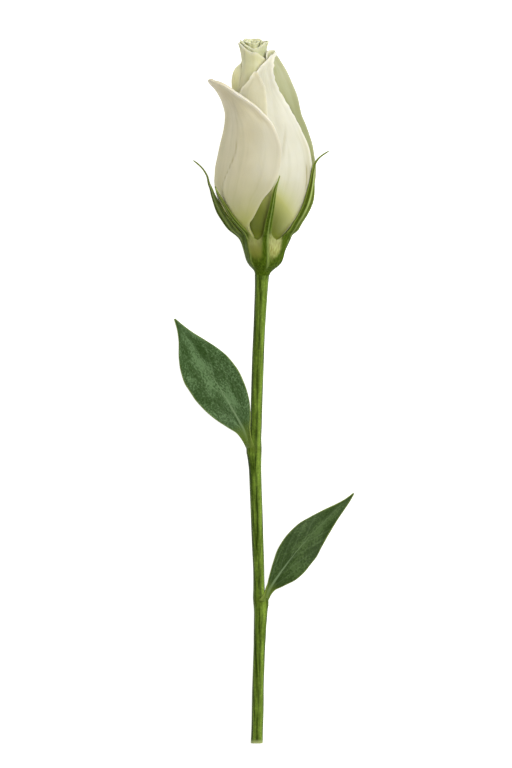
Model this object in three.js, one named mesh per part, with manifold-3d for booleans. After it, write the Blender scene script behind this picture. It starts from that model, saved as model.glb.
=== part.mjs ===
/**
 * Lisianthus: one half-open bloom on a cut stem with two leaves, lying on a flat surface.
 *
 * The flower is drawn in its own frame, in millimetres: Y runs up the stem axis from the
 * foot of the calyx, X is to the beholder's right and Z points at the beholder. Angles round
 * the bloom are in degrees, 0 towards the beholder and positive to the right. The last lines
 * lay the whole flower on its back, so that it rests on the belly of the bloom, the cut end
 * of the stem and the two drooping leaf tips.
 */
import * as THREE from 'three';
import Module from 'manifold-3d';

const wasm = await Module();
wasm.setup();

const DEGREE = Math.PI / 180;

// Thickness of the plant's parts, and the gaps that keep neighbouring pieces apart
const PETAL_THICKNESS = 0.6;
const LAYER_PITCH = 0.94;
const LEAF_THICKNESS = 0.7;
const SEAT_GAP = 0.3;

// The bloom: outline radius and sideways drift of its axis, as [height, millimetres]
const BLOOM_RADIUS = through([
  [2.0, 3.0], [3.2, 3.5], [5.0, 4.1], [6.5, 4.6], [8.1, 5.25], [9.7, 6.35], [11.3, 7.75], [13.0, 9.05],
  [14.6, 10.2], [16.2, 11.15], [17.8, 12.0], [19.4, 12.7], [21.1, 13.25], [24.3, 13.8], [27.5, 13.7],
  [30.8, 13.15], [34.0, 12.55], [37.3, 11.6], [42.1, 10.4], [47.0, 9.4], [50.2, 8.35], [53.5, 7.3],
  [56.7, 5.5], [58.3, 4.65], [59.9, 4.3],
]);
const BLOOM_AXIS = through([
  [20, 0.15], [27, 0.6], [34, 0.8], [39, 0.5], [42, 0], [50, -0.25], [54, -0.7], [57, -0.8], [60, -1.3],
]);

// The rolled heart of the bloom, which leans to the left at the mouth
const ROLL_RADIUS = through([
  [2.0, 2.05], [4.0, 2.3], [6.5, 2.6], [8, 3.1], [10, 3.9], [13, 5.0], [20, 6.2], [30, 6.6], [40, 5.95],
  [45, 5.7], [48, 5.2], [51, 4.5], [54, 3.85], [57, 3.6], [60, 3.75], [62.4, 4.05],
]);
const ROLL_AXIS = through([
  [30, 0], [38, -0.4], [45, -1.0], [50, -1.6], [54, -2.0], [57, -2.2], [61.6, -2.6],
]);

// How the flower lies: on the flattened belly of the bloom and the cut end of the stem
const BELLY_HEIGHT = 24;
const BELLY_FLATTENING = 0.5;
const STEM_FOOT = -127.8;
const STEM_FOOT_RADIUS = 1.6;
const BELLY_DEPTH = BLOOM_RADIUS(BELLY_HEIGHT) - BELLY_FLATTENING;
const LYING_SLOPE = (BELLY_DEPTH - STEM_FOOT_RADIUS) / (BELLY_HEIGHT - STEM_FOOT);

// Heights of the rows of every petal below its tip, close together where the petal narrows
const PETAL_ROWS = [
  2, 4.5, 6.5, 8, 9.6, 11.5, 14, 17, 19.8, 22.4, 25, 28, 31.5, 35.5, 39.5, 43, 46.5, 49.5, 52,
];
const TIP_ROWS = [6, 4, 2.4, 1.1, 0];
const ROLL_ROWS = [2, 6.5, 10.5, 14, 16, 18, 20, 28, 36, 43, 49, 53];
const LIP_ROWS = 3;

// Heights between which the narrow claws, side by side, give way to petals that overlap
const OUTER_OVERLAP = [4.5, 6.5];
const ROLL_OVERLAP = [10.5, 14];

// The beak of the front left petal: how far its tip curls out, as [height, millimetres], and
// the angle that it points to and fades over
const BEAK_REACH = through([[41.8, 0], [45.4, 1.1], [47.3, 2.2], [49.4, 4.0], [51.3, 6.4]]);
const BEAK_ANGLE = -82;
const BEAK_SPREAD = 40;

// The dive of the front right petal: two layers deep from its free margin over to its hidden
// one, starting above the claws and easing off towards the tip
const DIVE_LAYERS = 2;
const DIVE_ANGLES = [68, 21];
const DIVE_START = [10, 16];
const DIVE_EASE = { heights: [53, 57], share: 0.5 };

// The six outer petals, each with its margins and how many layers it lies below the outline
const OUTER_PETALS = [
  {
    name: 'petal_front_left',
    colour: 0xd2caa8,
    tip: 51.3,
    columns: 10,
    left: [[2, -105], [6.5, -105], [9.6, -118], [20, -122], [35, -122], [44, -112], [48.5, -98],
      [51.3, -84]],
    right: [[2, -55], [6.5, -52], [9.6, -24], [12, -19], [16.2, -8], [21.6, 10], [27, 17], [33, 21],
      [36, 18.7], [39.4, 13], [41.4, 5.6], [43.2, -3.5], [45.4, -19], [47.3, -36], [48.8, -50],
      [50.2, -64], [51.3, -78]],
    layer: () => 0,
    flare: beakFlare,
  },
  {
    name: 'petal_inner_front',
    colour: 0xcfc8a4,
    tip: 53.6,
    columns: 6,
    left: [[2, -45], [20, -46], [46, -47], [48.6, -44], [50, -34], [51.5, -25], [52.8, -18], [53.6, -13]],
    right: [[2, -10], [6.5, -9], [16, -6.5], [20.5, 0], [45.9, 8], [49, 6], [50.4, 3], [51.6, -1],
      [52.8, -4], [53.6, -7]],
    layer: () => 1,
  },
  {
    name: 'petal_front_right',
    colour: 0xecebd8,
    tip: 59.2,
    columns: 10,
    left: [[2, 2], [6.5, 0], [9.6, -5], [16.2, -3.5], [20.5, -10], [40, -16], [50, -18], [53.5, -10],
      [54.2, -5], [55.5, 6], [56.2, 15], [57.1, 27], [58, 40], [59.2, 62]],
    right: [[2, 58], [6.5, 62], [9.6, 68], [33.5, 68], [35.3, 66], [38.5, 62], [42, 57], [45.3, 46],
      [48.5, 37], [52, 35], [55.8, 43], [57.5, 55], [59.2, 76]],
    layer: frontRightLayer,
    flare: (height, angle) => 0.5 * smooth(57, 59.2, height) * smooth(40, 70, angle),
  },
  {
    name: 'petal_right',
    colour: 0xc3c79a,
    tip: 59.9,
    columns: 10,
    left: [[2, 70], [6.5, 68], [9.6, 52], [40, 45], [46, 32], [52, 22], [55.8, 31], [57, 46], [58.8, 82],
      [59.9, 104]],
    right: [[2, 128], [6.5, 130], [9.6, 145], [45, 145], [52, 140], [56, 136], [58.5, 130], [59.9, 122]],
    layer: (height, angle) => frontRightLayer(height, angle) + 1 - smooth(68, 88, angle),
  },
  {
    name: 'petal_back',
    colour: 0xd9d6bb,
    tip: 58.6,
    flare: (height) => 0.4 * smooth(55.5, 58, height),
    columns: 10,
    left: [[2, 138], [6.5, 138], [9.6, 125], [50, 122], [55, 136], [57, 150], [58.6, 170]],
    right: [[2, 190], [6.5, 192], [9.6, 215], [50, 215], [55, 208], [57, 200], [58.6, 186]],
    layer: (height, angle) => 1 - smooth(145, 165, angle),
    rests: true,
  },
  {
    name: 'petal_left',
    colour: 0xc9c59d,
    tip: 56.8,
    flare: (height) => 0.75 * smooth(53, 55.5, height),
    columns: 10,
    left: [[2, 200], [6.5, 200], [9.6, 192], [50, 190], [54, 198], [56, 214], [56.8, 224]],
    right: [[2, 245], [6.5, 248], [9.6, 275], [30, 292], [45, 306], [50, 309], [53, 304], [54.5, 290],
      [55.5, 268], [56.2, 250], [56.8, 234]],
    layer: (height, angle) => (1 + 0.35 * smooth(12, 18, height) * (1 - smooth(215, 235, angle)))
      * (1 - smooth(47.5, 51.5, height) * smooth(240, 262, angle)),
  },
];

// The four petals of the rolled heart, with the height of the lip round the mouth
const ROLL_PETALS = [
  {
    name: 'roll_front',
    colour: 0xcdc5a0,
    columns: 12,
    layer: () => 0,
    left: [[2, -85], [14, -85], [20, -135], [60, -135]],
    right: [[2, -5], [14, -5], [20, 55], [60, 57]],
    lip: [[-135, 61.6], [-100, 61.9], [-60, 60.6], [-30, 59.2], [0, 58.7], [20, 58.4], [40, 57.6],
      [57, 56.5]],
  },
  {
    name: 'roll_middle',
    colour: 0xc8c39c,
    columns: 12,
    layer: () => 1,
    left: [[2, 5], [14, 5], [20, -88], [60, -88]],
    right: [[2, 85], [14, 80], [20, 72], [60, 72]],
    lip: [[-88, 61.8], [-60, 61.0], [-35, 60.2], [0, 59.5], [20, 59.8], [45, 60.6], [60, 60.9], [72, 61.2]],
  },
  {
    name: 'roll_back',
    colour: 0xd6d1b2,
    columns: 12,
    layer: (height, angle) => smooth(198, 222, angle),
    left: [[2, 95], [14, 92], [20, 82], [60, 82]],
    right: [[2, 175], [14, 175], [20, 256], [60, 256]],
    lip: [[82, 62.0], [95, 62.0], [120, 61.8], [140, 62.0], [158, 62.7], [174, 62.7], [190, 62.4],
      [205, 62.7], [218, 62.6], [232, 62.2], [256, 61.9]],
  },
  {
    name: 'roll_heart',
    colour: 0xc5c294,
    columns: 12,
    layer: () => 2,
    left: [[2, 185], [14, 185], [20, 85], [60, 85]],
    right: [[2, 265], [14, 265], [20, 365], [60, 365]],
    lip: [[85, 57.5], [225, 60], [365, 57.5]],
  },
];

// The calyx: a cup whose wall carries five keeled lobes that lie along the petals
const CALYX_FLOOR = 1.6;
const CALYX_RIM = 8.8;
const CALYX_SIDES = 24;
const CALYX_ROWS = [-1.3, -0.9, -0.2, 0.4, 1.35, 2.8, 5.4, 6.8, CALYX_RIM];
const CALYX_OUTLINE = through([
  [-1.3, 2.0], [-0.9, 2.04], [-0.2, 2.35], [0.4, 3.05], [1.35, 4.0], [2.8, 4.75], [5.4, 5.4], [6.8, 5.8],
  [8.8, 6.65],
]);
const LOBE_FOOT = -0.9;
const LOBE_ROWS = 15;
const LOBE_EDGE = 0.55;
const LOBE_KEEL = 1.0;
const CUP_KEEL = 0.4;
const CUP_BURIED = 0.5;
const LOBE_FREE = [6, 10.5];
const LOBE_TIP_TAPER = 0.45;
const LOBES = [
  {
    angle: [[0, 14], [4, 10], [9, 8], [15, 9], [21, 11.5], [25.6, 16.5]],
    proud: [[0, 0], [25.6, 0.1]],
    halfWidth: [[0, 0.9], [8, 0.9], [12, 1.1], [15, 0.9], [20, 0.65], [25.6, 0.2]],
    tip: 25.6,
  },
  {
    angle: [[0, 80], [4, 76], [9, 66], [13, 62], [20, 64], [27, 62], [31.9, 70]],
    proud: [[0, 0], [26, 0], [28.6, 0.6], [30.2, 1.8], [31.9, 4.5]],
    halfWidth: [[0, 0.9], [9, 0.8], [13, 1.2], [17, 1.4], [21, 1.25], [25, 0.75], [31.9, 0.22]],
    tip: 31.9,
  },
  {
    angle: [[0, 152], [9, 150], [24, 150]],
    proud: [[0, 0], [24, 0]],
    halfWidth: [[0, 0.9], [12, 1.1], [18, 0.8], [24, 0.22]],
    tip: 24,
  },
  {
    angle: [[0, -128], [5, -112], [10, -96], [20, -90], [29.6, -92]],
    proud: [[0, 0], [12, 0.1], [22, 0.2], [24.7, 1.1], [27.1, 2.7], [28.6, 4.5], [29.6, 5.8]],
    halfWidth: [[0, 0.9], [9, 0.95], [14, 1.1], [20, 0.85], [29.6, 0.22]],
    tip: 29.6,
  },
  {
    angle: [[0, -52], [5, -48], [9.5, -47], [14, -55], [18.5, -60], [22.4, -67]],
    proud: [[0, 0], [18, 0], [22.4, 0.5]],
    halfWidth: [[0, 0.9], [9, 0.85], [13, 0.95], [18, 0.65], [22.4, 0.22]],
    tip: 22.4,
  },
];

// The stem: its sideways drift and its radius, thicker at the two nodes and under the calyx
const STEM_TOP = -1.6;
const STEM_NECK = -3;
const STEM_SIDES = 12;
const STEM_STEP = 4;
const STEM_AXIS = through([
  [-127.8, -1.58], [-119, -1.33], [-113, -1.25], [-106, -1.02], [-93.4, -0.65], [-87, -0.92],
  [-80.5, -1.03], [-74, -1.28], [-64, -1.62], [-58, -1.85], [-52, -2.0], [-48, -1.98], [-41.6, -1.73],
  [-35, -1.55], [-28.6, -1.35], [-22, -1.13], [-15.7, -0.85], [-9.2, -0.52], [-6, -0.36], [-1.6, -0.14],
]);
const STEM_RADIUS = through([
  [-127.8, STEM_FOOT_RADIUS], [-124, 1.53], [-118, 1.57], [-110, 1.52], [-102, 1.53], [-98.5, 1.62],
  [-94.5, 1.66], [-92, 1.62], [-89, 1.72], [-86, 1.55], [-82, 1.5], [-76, 1.57], [-66, 1.63],
  [-58, 1.65], [-51, 1.73], [-48.5, 1.8], [-45, 1.6], [-38, 1.58], [-24, 1.62], [-18, 1.6], [-8, 1.72],
  [-4, 1.82], [-1.6, 1.95],
]);
const STEM_NODE_ROWS = [-92, -90.5, -89, -87.5, -86, -51, -49.8, -48.5, -47, -45];

// The two leaves: midrib points [x, y, z] with the tip on the surface, half widths to the left
// and right along it, and the arc of the stem that the foot clasps, as [angle, height] at the
// left and right margins
const LEAF_COLUMNS = 8;
const LEAF_ROWS = 16;
const LEAF_TROUGH = 0.13;
const LEAF_CLASP = 0.1;
const WAVE_START = [0.1, 0.3];
const WAVE_END = [0.75, 0.95];
const LEAVES = [
  {
    name: 'leaf_upper',
    midrib: [[-3.3, -46.4, 0.6], [-8.0, -37.8, 0.9], [-13.1, -29.4, -1.4], [-18.6, -21.2, -5.4],
      [-23.9, -13.0]],
    left: [[0, 1.0], [0.08, 1.9], [0.15, 3.5], [0.25, 5.5], [0.35, 6.8], [0.45, 7.4], [0.55, 7.4],
      [0.65, 6.5], [0.75, 4.7], [0.85, 2.3], [0.93, 0.95], [1, 0.25]],
    right: [[0, 0.5], [0.08, 1.6], [0.15, 3.1], [0.25, 5.0], [0.35, 6.2], [0.45, 6.8], [0.55, 6.5],
      [0.65, 5.5], [0.75, 3.9], [0.85, 2.1], [0.93, 1.0], [1, 0.25]],
    foot: { left: [-110, -49.2], right: [-5, -47.8] },
    wave: [0.45, 2.2, 0.4],
  },
  {
    name: 'leaf_lower',
    midrib: [[0.1, -88.8, 0.5], [5.4, -80.9, 0.9], [11.3, -73.5, -0.3], [17.9, -66.7, -2.8], [24.8, -60.3]],
    left: [[0, 0.8], [0.08, 1.0], [0.15, 1.9], [0.25, 3.3], [0.35, 4.5], [0.45, 4.85], [0.55, 4.6],
      [0.65, 3.6], [0.75, 2.4], [0.85, 1.1], [0.93, 0.45], [1, 0.25]],
    right: [[0, 0.9], [0.08, 1.2], [0.15, 2.7], [0.25, 4.6], [0.35, 5.2], [0.45, 5.2], [0.55, 4.4],
      [0.65, 3.4], [0.75, 2.5], [0.85, 1.7], [0.93, 1.0], [1, 0.25]],
    foot: { left: [-5, -89.3], right: [110, -90.6] },
    wave: [0.35, 2.6, 1.9],
  },
];

// Inside the bloom: the pistil on the calyx floor and a ring of five stamens round its style
const PISTIL_SIDES = 10;
const PISTIL_OUTLINE = [
  [1.9, 0.95], [3.5, 1.15], [6, 1.35], [8, 1.2], [9.4, 0.8], [10.5, 0.5], [18, 0.45], [27, 0.45],
  [28.2, 0.9], [29.4, 1.1], [30.2, 0.7],
];
const STAMEN_COUNT = 5;
const STAMEN_SIDES = 6;
const STAMEN_RING = { low: 9.7, high: 10.5, inner: 2.1, outer: 2.75, sides: 20 };
const FILAMENT = [
  [10, 2.4, 0.35], [13, 1.6, 0.3], [17, 1.3, 0.3], [21.5, 1.3, 0.3], [22, 1.45, 0.5], [23.5, 1.5, 0.6],
  [25.2, 1.45, 0.5], [25.7, 1.4, 0.2],
];

/** A smooth curve through [position, value] stations that never overshoots them. */
function through(stations) {
  const rises = stations.slice(1).map(([x, y], i) => (y - stations[i][1]) / (x - stations[i][0]));
  const slopes = stations.map((_, i) => {
    const before = rises[Math.max(i - 1, 0)];
    const after = rises[Math.min(i, rises.length - 1)];
    return before * after <= 0 ? 0 : (2 * before * after) / (before + after);
  });
  return (x) => {
    const last = stations.length - 1;
    if (x <= stations[0][0]) return stations[0][1];
    if (x >= stations[last][0]) return stations[last][1];
    const i = stations.findIndex((station) => station[0] > x) - 1;
    const width = stations[i + 1][0] - stations[i][0];
    const t = (x - stations[i][0]) / width;
    const startWeight = (1 + 2 * t) * (1 - t) ** 2;
    const slopeTerm = width * t * (1 - t) * ((1 - t) * slopes[i] - t * slopes[i + 1]);
    return stations[i][1] * startWeight + stations[i + 1][1] * (1 - startWeight) + slopeTerm;
  };
}

/** 0 below from, 1 above to, and a smooth rise between. */
function smooth(from, to, value) {
  return THREE.MathUtils.smoothstep(value, from, to);
}

/** How much a wall that follows this outline leans: its thickness across over its real one. */
function lean(outline, height) {
  const step = 0.5;
  const rise = (outline(height + step) - outline(height - step)) / (2 * step);
  return Math.hypot(1, rise);
}

/** The front left petal curls out to the left into a beak at its tip. */
function beakFlare(height, angle) {
  return BEAK_REACH(height) * Math.exp(-(((angle - BEAK_ANGLE) / BEAK_SPREAD) ** 2));
}

/** The front right petal dives under its left neighbours, and rises to the outline at the right. */
function frontRightLayer(height, angle) {
  const [shallow, deep] = DIVE_ANGLES;
  const dive = DIVE_LAYERS * THREE.MathUtils.clamp((shallow - angle) / (shallow - deep), 0, 1);
  const eased = 1 - DIVE_EASE.share * smooth(...DIVE_EASE.heights, height);
  return dive * smooth(...DIVE_START, height) * eased;
}

/** Height of the surface that the flower lies on, below a point of its axis. */
function restingSurface(height) {
  return -BELLY_DEPTH + (BELLY_HEIGHT - height) * LYING_SLOPE;
}

/** A point at an angle, a height and a distance from an axis that drifts sideways. */
function roundPoint(axis, angle, height, radius) {
  const turn = angle * DEGREE;
  return new THREE.Vector3(axis(height) + radius * Math.sin(turn), height, radius * Math.cos(turn));
}

/** A geometry from points and triangles, turned so that its faces point out. */
function closedGeometry(points, triangles) {
  const volume = triangles.reduce((sum, [a, b, c]) => {
    const cross = new THREE.Vector3().crossVectors(points[b], points[c]);
    return sum + points[a].dot(cross) / 6;
  }, 0);
  const facing = volume > 0 ? triangles : triangles.map(([a, b, c]) => [a, c, b]);
  const geometry = new THREE.BufferGeometry().setFromPoints(points);
  geometry.setIndex(facing.flat());
  geometry.computeVertexNormals();
  return geometry;
}

/** A closed sheet: surface(u, v) is its outer face, and the other face lies behind it. */
function sheet(surface, columns, rows, thickness) {
  const step = 1e-3;
  const front = [];
  const back = [];
  for (let row = 0; row <= rows; row += 1) {
    for (let column = 0; column <= columns; column += 1) {
      const u = column / columns;
      const v = row / rows;
      const point = surface(u, v);
      const across = surface(Math.min(u + step, 1), v).sub(surface(Math.max(u - step, 0), v));
      const along = surface(u, Math.min(v + step, 1)).sub(surface(u, Math.max(v - step, 0)));
      const normal = across.cross(along).normalize();
      front.push(point);
      back.push(point.clone().addScaledVector(normal, -thickness));
    }
  }
  const size = front.length;
  const at = (column, row) => row * (columns + 1) + column;
  const triangles = [];
  for (let row = 0; row < rows; row += 1) {
    for (let column = 0; column < columns; column += 1) {
      const a = at(column, row);
      const b = at(column + 1, row);
      const c = at(column + 1, row + 1);
      const d = at(column, row + 1);
      triangles.push([a, b, c], [a, c, d], [a + size, c + size, b + size], [a + size, d + size, c + size]);
    }
  }
  const edge = [];
  for (let column = 0; column < columns; column += 1) edge.push(at(column, 0));
  for (let row = 0; row < rows; row += 1) edge.push(at(columns, row));
  for (let column = columns; column > 0; column -= 1) edge.push(at(column, rows));
  for (let row = rows; row > 0; row -= 1) edge.push(at(0, row));
  edge.forEach((from, i) => {
    const to = edge[(i + 1) % edge.length];
    triangles.push([to, from, from + size], [to, from + size, to + size]);
  });
  return closedGeometry([...front, ...back], triangles);
}

/** A closed solid through rings of equal numbers of points, with a flat cap at each end. */
function loft(rings) {
  const sides = rings[0].length;
  const points = rings.flat();
  const triangles = [];
  for (let ring = 0; ring < rings.length - 1; ring += 1) {
    for (let side = 0; side < sides; side += 1) {
      const a = ring * sides + side;
      const b = ring * sides + ((side + 1) % sides);
      triangles.push([a, b, b + sides], [a, b + sides, a + sides]);
    }
  }
  [rings[0], rings[rings.length - 1]].forEach((ring, end) => {
    const middle = ring.reduce((sum, point) => sum.add(point), new THREE.Vector3()).divideScalar(sides);
    const centre = points.push(middle) - 1;
    const start = end * (rings.length - 1) * sides;
    for (let side = 0; side < sides; side += 1) {
      const a = start + side;
      const b = start + ((side + 1) % sides);
      triangles.push(end ? [centre, a, b] : [centre, b, a]);
    }
  });
  return closedGeometry(points, triangles);
}

/** A level ring of points round an axis, at a height and a radius. */
function levelRing(axis, height, radius, sides) {
  return Array.from({ length: sides }, (_, i) => roundPoint(axis, (360 * i) / sides, height, radius));
}

/** One body out of several closed geometries that reach into each other. */
function fuse(geometries) {
  const solids = geometries.map((geometry) => new wasm.Manifold(new wasm.Mesh({
    numProp: 3,
    vertProperties: new Float32Array(geometry.getAttribute('position').array),
    triVerts: new Uint32Array(geometry.getIndex().array),
  })));
  const mesh = solids.reduce((body, solid) => body.add(solid)).getMesh();
  const geometry = new THREE.BufferGeometry();
  geometry.setAttribute('position', new THREE.BufferAttribute(new Float32Array(mesh.vertProperties), 3));
  geometry.setIndex(new THREE.BufferAttribute(new Uint32Array(mesh.triVerts), 1));
  geometry.computeVertexNormals();
  return geometry;
}

/** A named piece of the flower in its own colour. */
function piece(name, geometry, colour, roughness) {
  const material = new THREE.MeshStandardMaterial({ color: colour, roughness, metalness: 0 });
  const mesh = new THREE.Mesh(geometry, material);
  mesh.name = name;
  return mesh;
}

/** An outer petal: a thin sheet along the outline of the bloom, some layers below it. */
function outerPetal({ name, colour, tip, columns, left, right, layer, flare = () => 0, rests = false }) {
  const leftMargin = through(left);
  const rightMargin = through(right);
  const heights = PETAL_ROWS.filter((height) => height < tip - TIP_ROWS[0] - 1);
  TIP_ROWS.forEach((drop) => heights.push(tip - drop));
  const rowHeight = through(heights.map((height, i) => [i / (heights.length - 1), height]));
  const surface = (u, v) => {
    const height = rowHeight(v);
    const angle = THREE.MathUtils.lerp(leftMargin(height), rightMargin(height), u);
    const depth = layer(height, angle) * smooth(...OUTER_OVERLAP, height) * LAYER_PITCH;
    const radius = BLOOM_RADIUS(height) - depth * lean(BLOOM_RADIUS, height) + flare(height, angle);
    const point = roundPoint(BLOOM_AXIS, angle, height, radius);
    if (rests) point.z = Math.max(point.z, restingSurface(height));
    return point;
  };
  return piece(name, sheet(surface, columns, heights.length - 1, PETAL_THICKNESS), colour, 0.6);
}

/** A petal of the rolled heart: its claw is narrow, and it widens into a wound sheet above. */
function rollPetal({ name, colour, columns, left, right, lip, layer }) {
  const leftMargin = through(left);
  const rightMargin = through(right);
  const lipHeight = through(lip);
  const mouth = ROLL_ROWS[ROLL_ROWS.length - 1];
  const rows = ROLL_ROWS.length - 1 + LIP_ROWS;
  const rowHeight = through(ROLL_ROWS.map((height, i) => [i, height]));
  const surface = (u, v) => {
    const row = v * rows;
    const crown = lipHeight(THREE.MathUtils.lerp(leftMargin(mouth), rightMargin(mouth), u));
    const aboveMouth = Math.max(row - (ROLL_ROWS.length - 1), 0) / LIP_ROWS;
    const height = rowHeight(row) + (crown - mouth) * aboveMouth;
    const angle = THREE.MathUtils.lerp(leftMargin(height), rightMargin(height), u);
    const depth = layer(height, angle) * smooth(...ROLL_OVERLAP, height) * LAYER_PITCH;
    const radius = ROLL_RADIUS(height) - depth * lean(ROLL_RADIUS, height);
    return roundPoint(ROLL_AXIS, angle, height, radius);
  };
  return piece(name, sheet(surface, columns, rows, PETAL_THICKNESS), colour, 0.6);
}

/** The wall and floor of the calyx cup, from its foot over the rim and down inside. */
function calyxCup() {
  const outer = CALYX_ROWS.map((height) => [height, CALYX_OUTLINE(height)]);
  const inner = [CALYX_RIM, 6.5, 4.9, 3.2, CALYX_FLOOR]
    .map((height) => [height, BLOOM_RADIUS(Math.max(height, 2)) + SEAT_GAP]);
  const onAxis = () => 0;
  const wall = [...outer, ...inner];
  return loft(wall.map(([height, radius]) => levelRing(onAxis, height, radius, CALYX_SIDES)));
}

/** One keeled calyx lobe, from inside the cup's wall to its thin tip. */
function calyxLobe({ angle, proud, halfWidth, tip }) {
  const angleAt = through(angle);
  const proudAt = through(proud);
  const halfWidthAt = through(halfWidth);
  const rings = Array.from({ length: LOBE_ROWS + 1 }, (_, row) => {
    const height = THREE.MathUtils.lerp(LOBE_FOOT, tip, row / LOBE_ROWS);
    const free = smooth(...LOBE_FREE, height);
    const taper = THREE.MathUtils.lerp(1, LOBE_TIP_TAPER, smooth(0.5, 1, row / LOBE_ROWS));
    const onPetals = BLOOM_RADIUS(height) + SEAT_GAP + proudAt(height);
    const cup = CALYX_OUTLINE(height);
    const inside = THREE.MathUtils.lerp(cup - CUP_BURIED, onPetals, free);
    const edge = THREE.MathUtils.lerp(cup - CUP_BURIED / 2, onPetals + LOBE_EDGE * taper, free);
    const keel = THREE.MathUtils.lerp(cup + CUP_KEEL, onPetals + LOBE_KEEL * taper, free);
    const spread = halfWidthAt(height) / keel / DEGREE;
    const section = [[-spread, inside], [spread, inside], [spread, edge], [0, keel], [-spread, edge]];
    return section.map(([turn, radius]) => roundPoint(BLOOM_AXIS, angleAt(height) + turn, height, radius));
  });
  return loft(rings);
}

/** The stem, round in section, with a row of points every few millimetres and at its nodes. */
function stemGeometry() {
  const heights = [STEM_TOP, STEM_NECK, ...STEM_NODE_ROWS, STEM_FOOT];
  for (let height = STEM_FOOT + STEM_STEP; height < STEM_NECK - 1; height += STEM_STEP) {
    if (heights.every((other) => Math.abs(other - height) > 1)) heights.push(height);
  }
  heights.sort((a, b) => a - b);
  return loft(heights.map((height) => levelRing(STEM_AXIS, height, STEM_RADIUS(height), STEM_SIDES)));
}

/** The point itself, or the nearest one at which a leaf passes clear of the stem. */
function clearOfStem(point) {
  const sideways = point.x - STEM_AXIS(point.y);
  const distance = Math.hypot(sideways, point.z);
  const nearest = STEM_RADIUS(point.y) + SEAT_GAP + LEAF_THICKNESS;
  const push = Math.max(nearest / distance, 1);
  return point.set(STEM_AXIS(point.y) + sideways * push, point.y, point.z * push);
}

/** A leaf: a troughed, gently waved blade on a drooping midrib, whose foot clasps the stem. */
function leafGeometry({ midrib, left, right, foot, wave }) {
  const [tipX, tipY] = midrib[midrib.length - 1];
  const tipZ = restingSurface(tipY) + LEAF_THICKNESS;
  const points = [...midrib.slice(0, -1).map(([x, y, z]) => new THREE.Vector3(x, y, z)),
    new THREE.Vector3(tipX, tipY, tipZ)];
  const rib = new THREE.CatmullRomCurve3(points, false, 'centripetal');
  const leftWidth = through(left);
  const rightWidth = through(right);
  const [waveHeight, waveCount, wavePhase] = wave;
  const surface = (u, v) => {
    const middle = rib.getPoint(v);
    const ahead = rib.getTangent(v);
    const side = new THREE.Vector3(ahead.y, -ahead.x, 0).normalize();
    const across = 2 * u - 1;
    const width = across < 0 ? leftWidth(v) : rightWidth(v);
    const offset = across * width;
    const ripple = waveHeight * across ** 2 * Math.sin(2 * Math.PI * waveCount * v + wavePhase + across);
    const waved = smooth(...WAVE_START, v) * (1 - smooth(...WAVE_END, v));
    const blade = middle.addScaledVector(side, offset);
    blade.z += LEAF_TROUGH * Math.abs(offset) + ripple * waved;
    const hold = 1 - smooth(0, LEAF_CLASP, v);
    const height = THREE.MathUtils.lerp(foot.left[1], foot.right[1], u);
    const angle = THREE.MathUtils.lerp(foot.left[0], foot.right[0], u);
    const reach = STEM_RADIUS(height) + SEAT_GAP + LEAF_THICKNESS;
    blade.lerp(roundPoint(STEM_AXIS, angle, height, reach), hold);
    return clearOfStem(blade);
  };
  return sheet(surface, LEAF_COLUMNS, LEAF_ROWS, LEAF_THICKNESS);
}

/** The pistil: an ovary on the calyx floor, with its style and the swollen stigma. */
function pistilGeometry() {
  const onAxis = () => 0;
  return loft(PISTIL_OUTLINE.map(([height, radius]) => levelRing(onAxis, height, radius, PISTIL_SIDES)));
}

/** Five stamens on a thin ring that sits against the claws of the inner petals. */
function stamensGeometry() {
  const onAxis = () => 0;
  const { low, high, inner, outer, sides } = STAMEN_RING;
  const band = [[low, outer], [high, outer], [high, inner], [low, inner]];
  const rings = Array.from({ length: sides }, (_, i) => band
    .map(([height, radius]) => roundPoint(onAxis, (360 * i) / sides, height, radius)));
  const points = rings.flat();
  const triangles = [];
  for (let i = 0; i < sides; i += 1) {
    for (let k = 0; k < band.length; k += 1) {
      const a = i * band.length + k;
      const b = i * band.length + ((k + 1) % band.length);
      const shift = i === sides - 1 ? -(sides - 1) * band.length : band.length;
      triangles.push([a, b, b + shift], [a, b + shift, a + shift]);
    }
  }
  const stalks = Array.from({ length: STAMEN_COUNT }, (_, stamen) => {
    const angle = (360 * (stamen + 0.5)) / STAMEN_COUNT;
    return loft(FILAMENT.map(([height, reach, radius]) => {
      const middle = roundPoint(onAxis, angle, height, reach);
      return Array.from({ length: STAMEN_SIDES }, (_, i) => {
        const turn = (2 * Math.PI * i) / STAMEN_SIDES;
        return middle.clone().add(new THREE.Vector3(radius * Math.sin(turn), 0, radius * Math.cos(turn)));
      });
    }));
  });
  return fuse([closedGeometry(points, triangles), ...stalks]);
}

const flower = new THREE.Group();
flower.add(piece('stem', stemGeometry(), 0x4a5f28, 0.55));
flower.add(piece('calyx', fuse([calyxCup(), ...LOBES.map(calyxLobe)]), 0x5c7434, 0.55));
LEAVES.forEach((leaf) => flower.add(piece(leaf.name, leafGeometry(leaf), 0x48603a, 0.6)));
OUTER_PETALS.forEach((petal) => flower.add(outerPetal(petal)));
ROLL_PETALS.forEach((petal) => flower.add(rollPetal(petal)));
flower.add(piece('pistil', pistilGeometry(), 0x9fb060, 0.5));
flower.add(piece('stamens', stamensGeometry(), 0xd8c46a, 0.6));

// Tip the flower onto its back and put the middle of its footprint at the origin
flower.rotation.x = Math.atan(LYING_SLOPE);
flower.updateMatrixWorld(true);
const bounds = new THREE.Box3().setFromObject(flower, true);
const lying = new THREE.Group();
lying.add(flower);
lying.position.set(
  -(bounds.min.x + bounds.max.x) / 2,
  -(bounds.min.y + bounds.max.y) / 2,
  -bounds.min.z,
);

export default lying;
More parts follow.
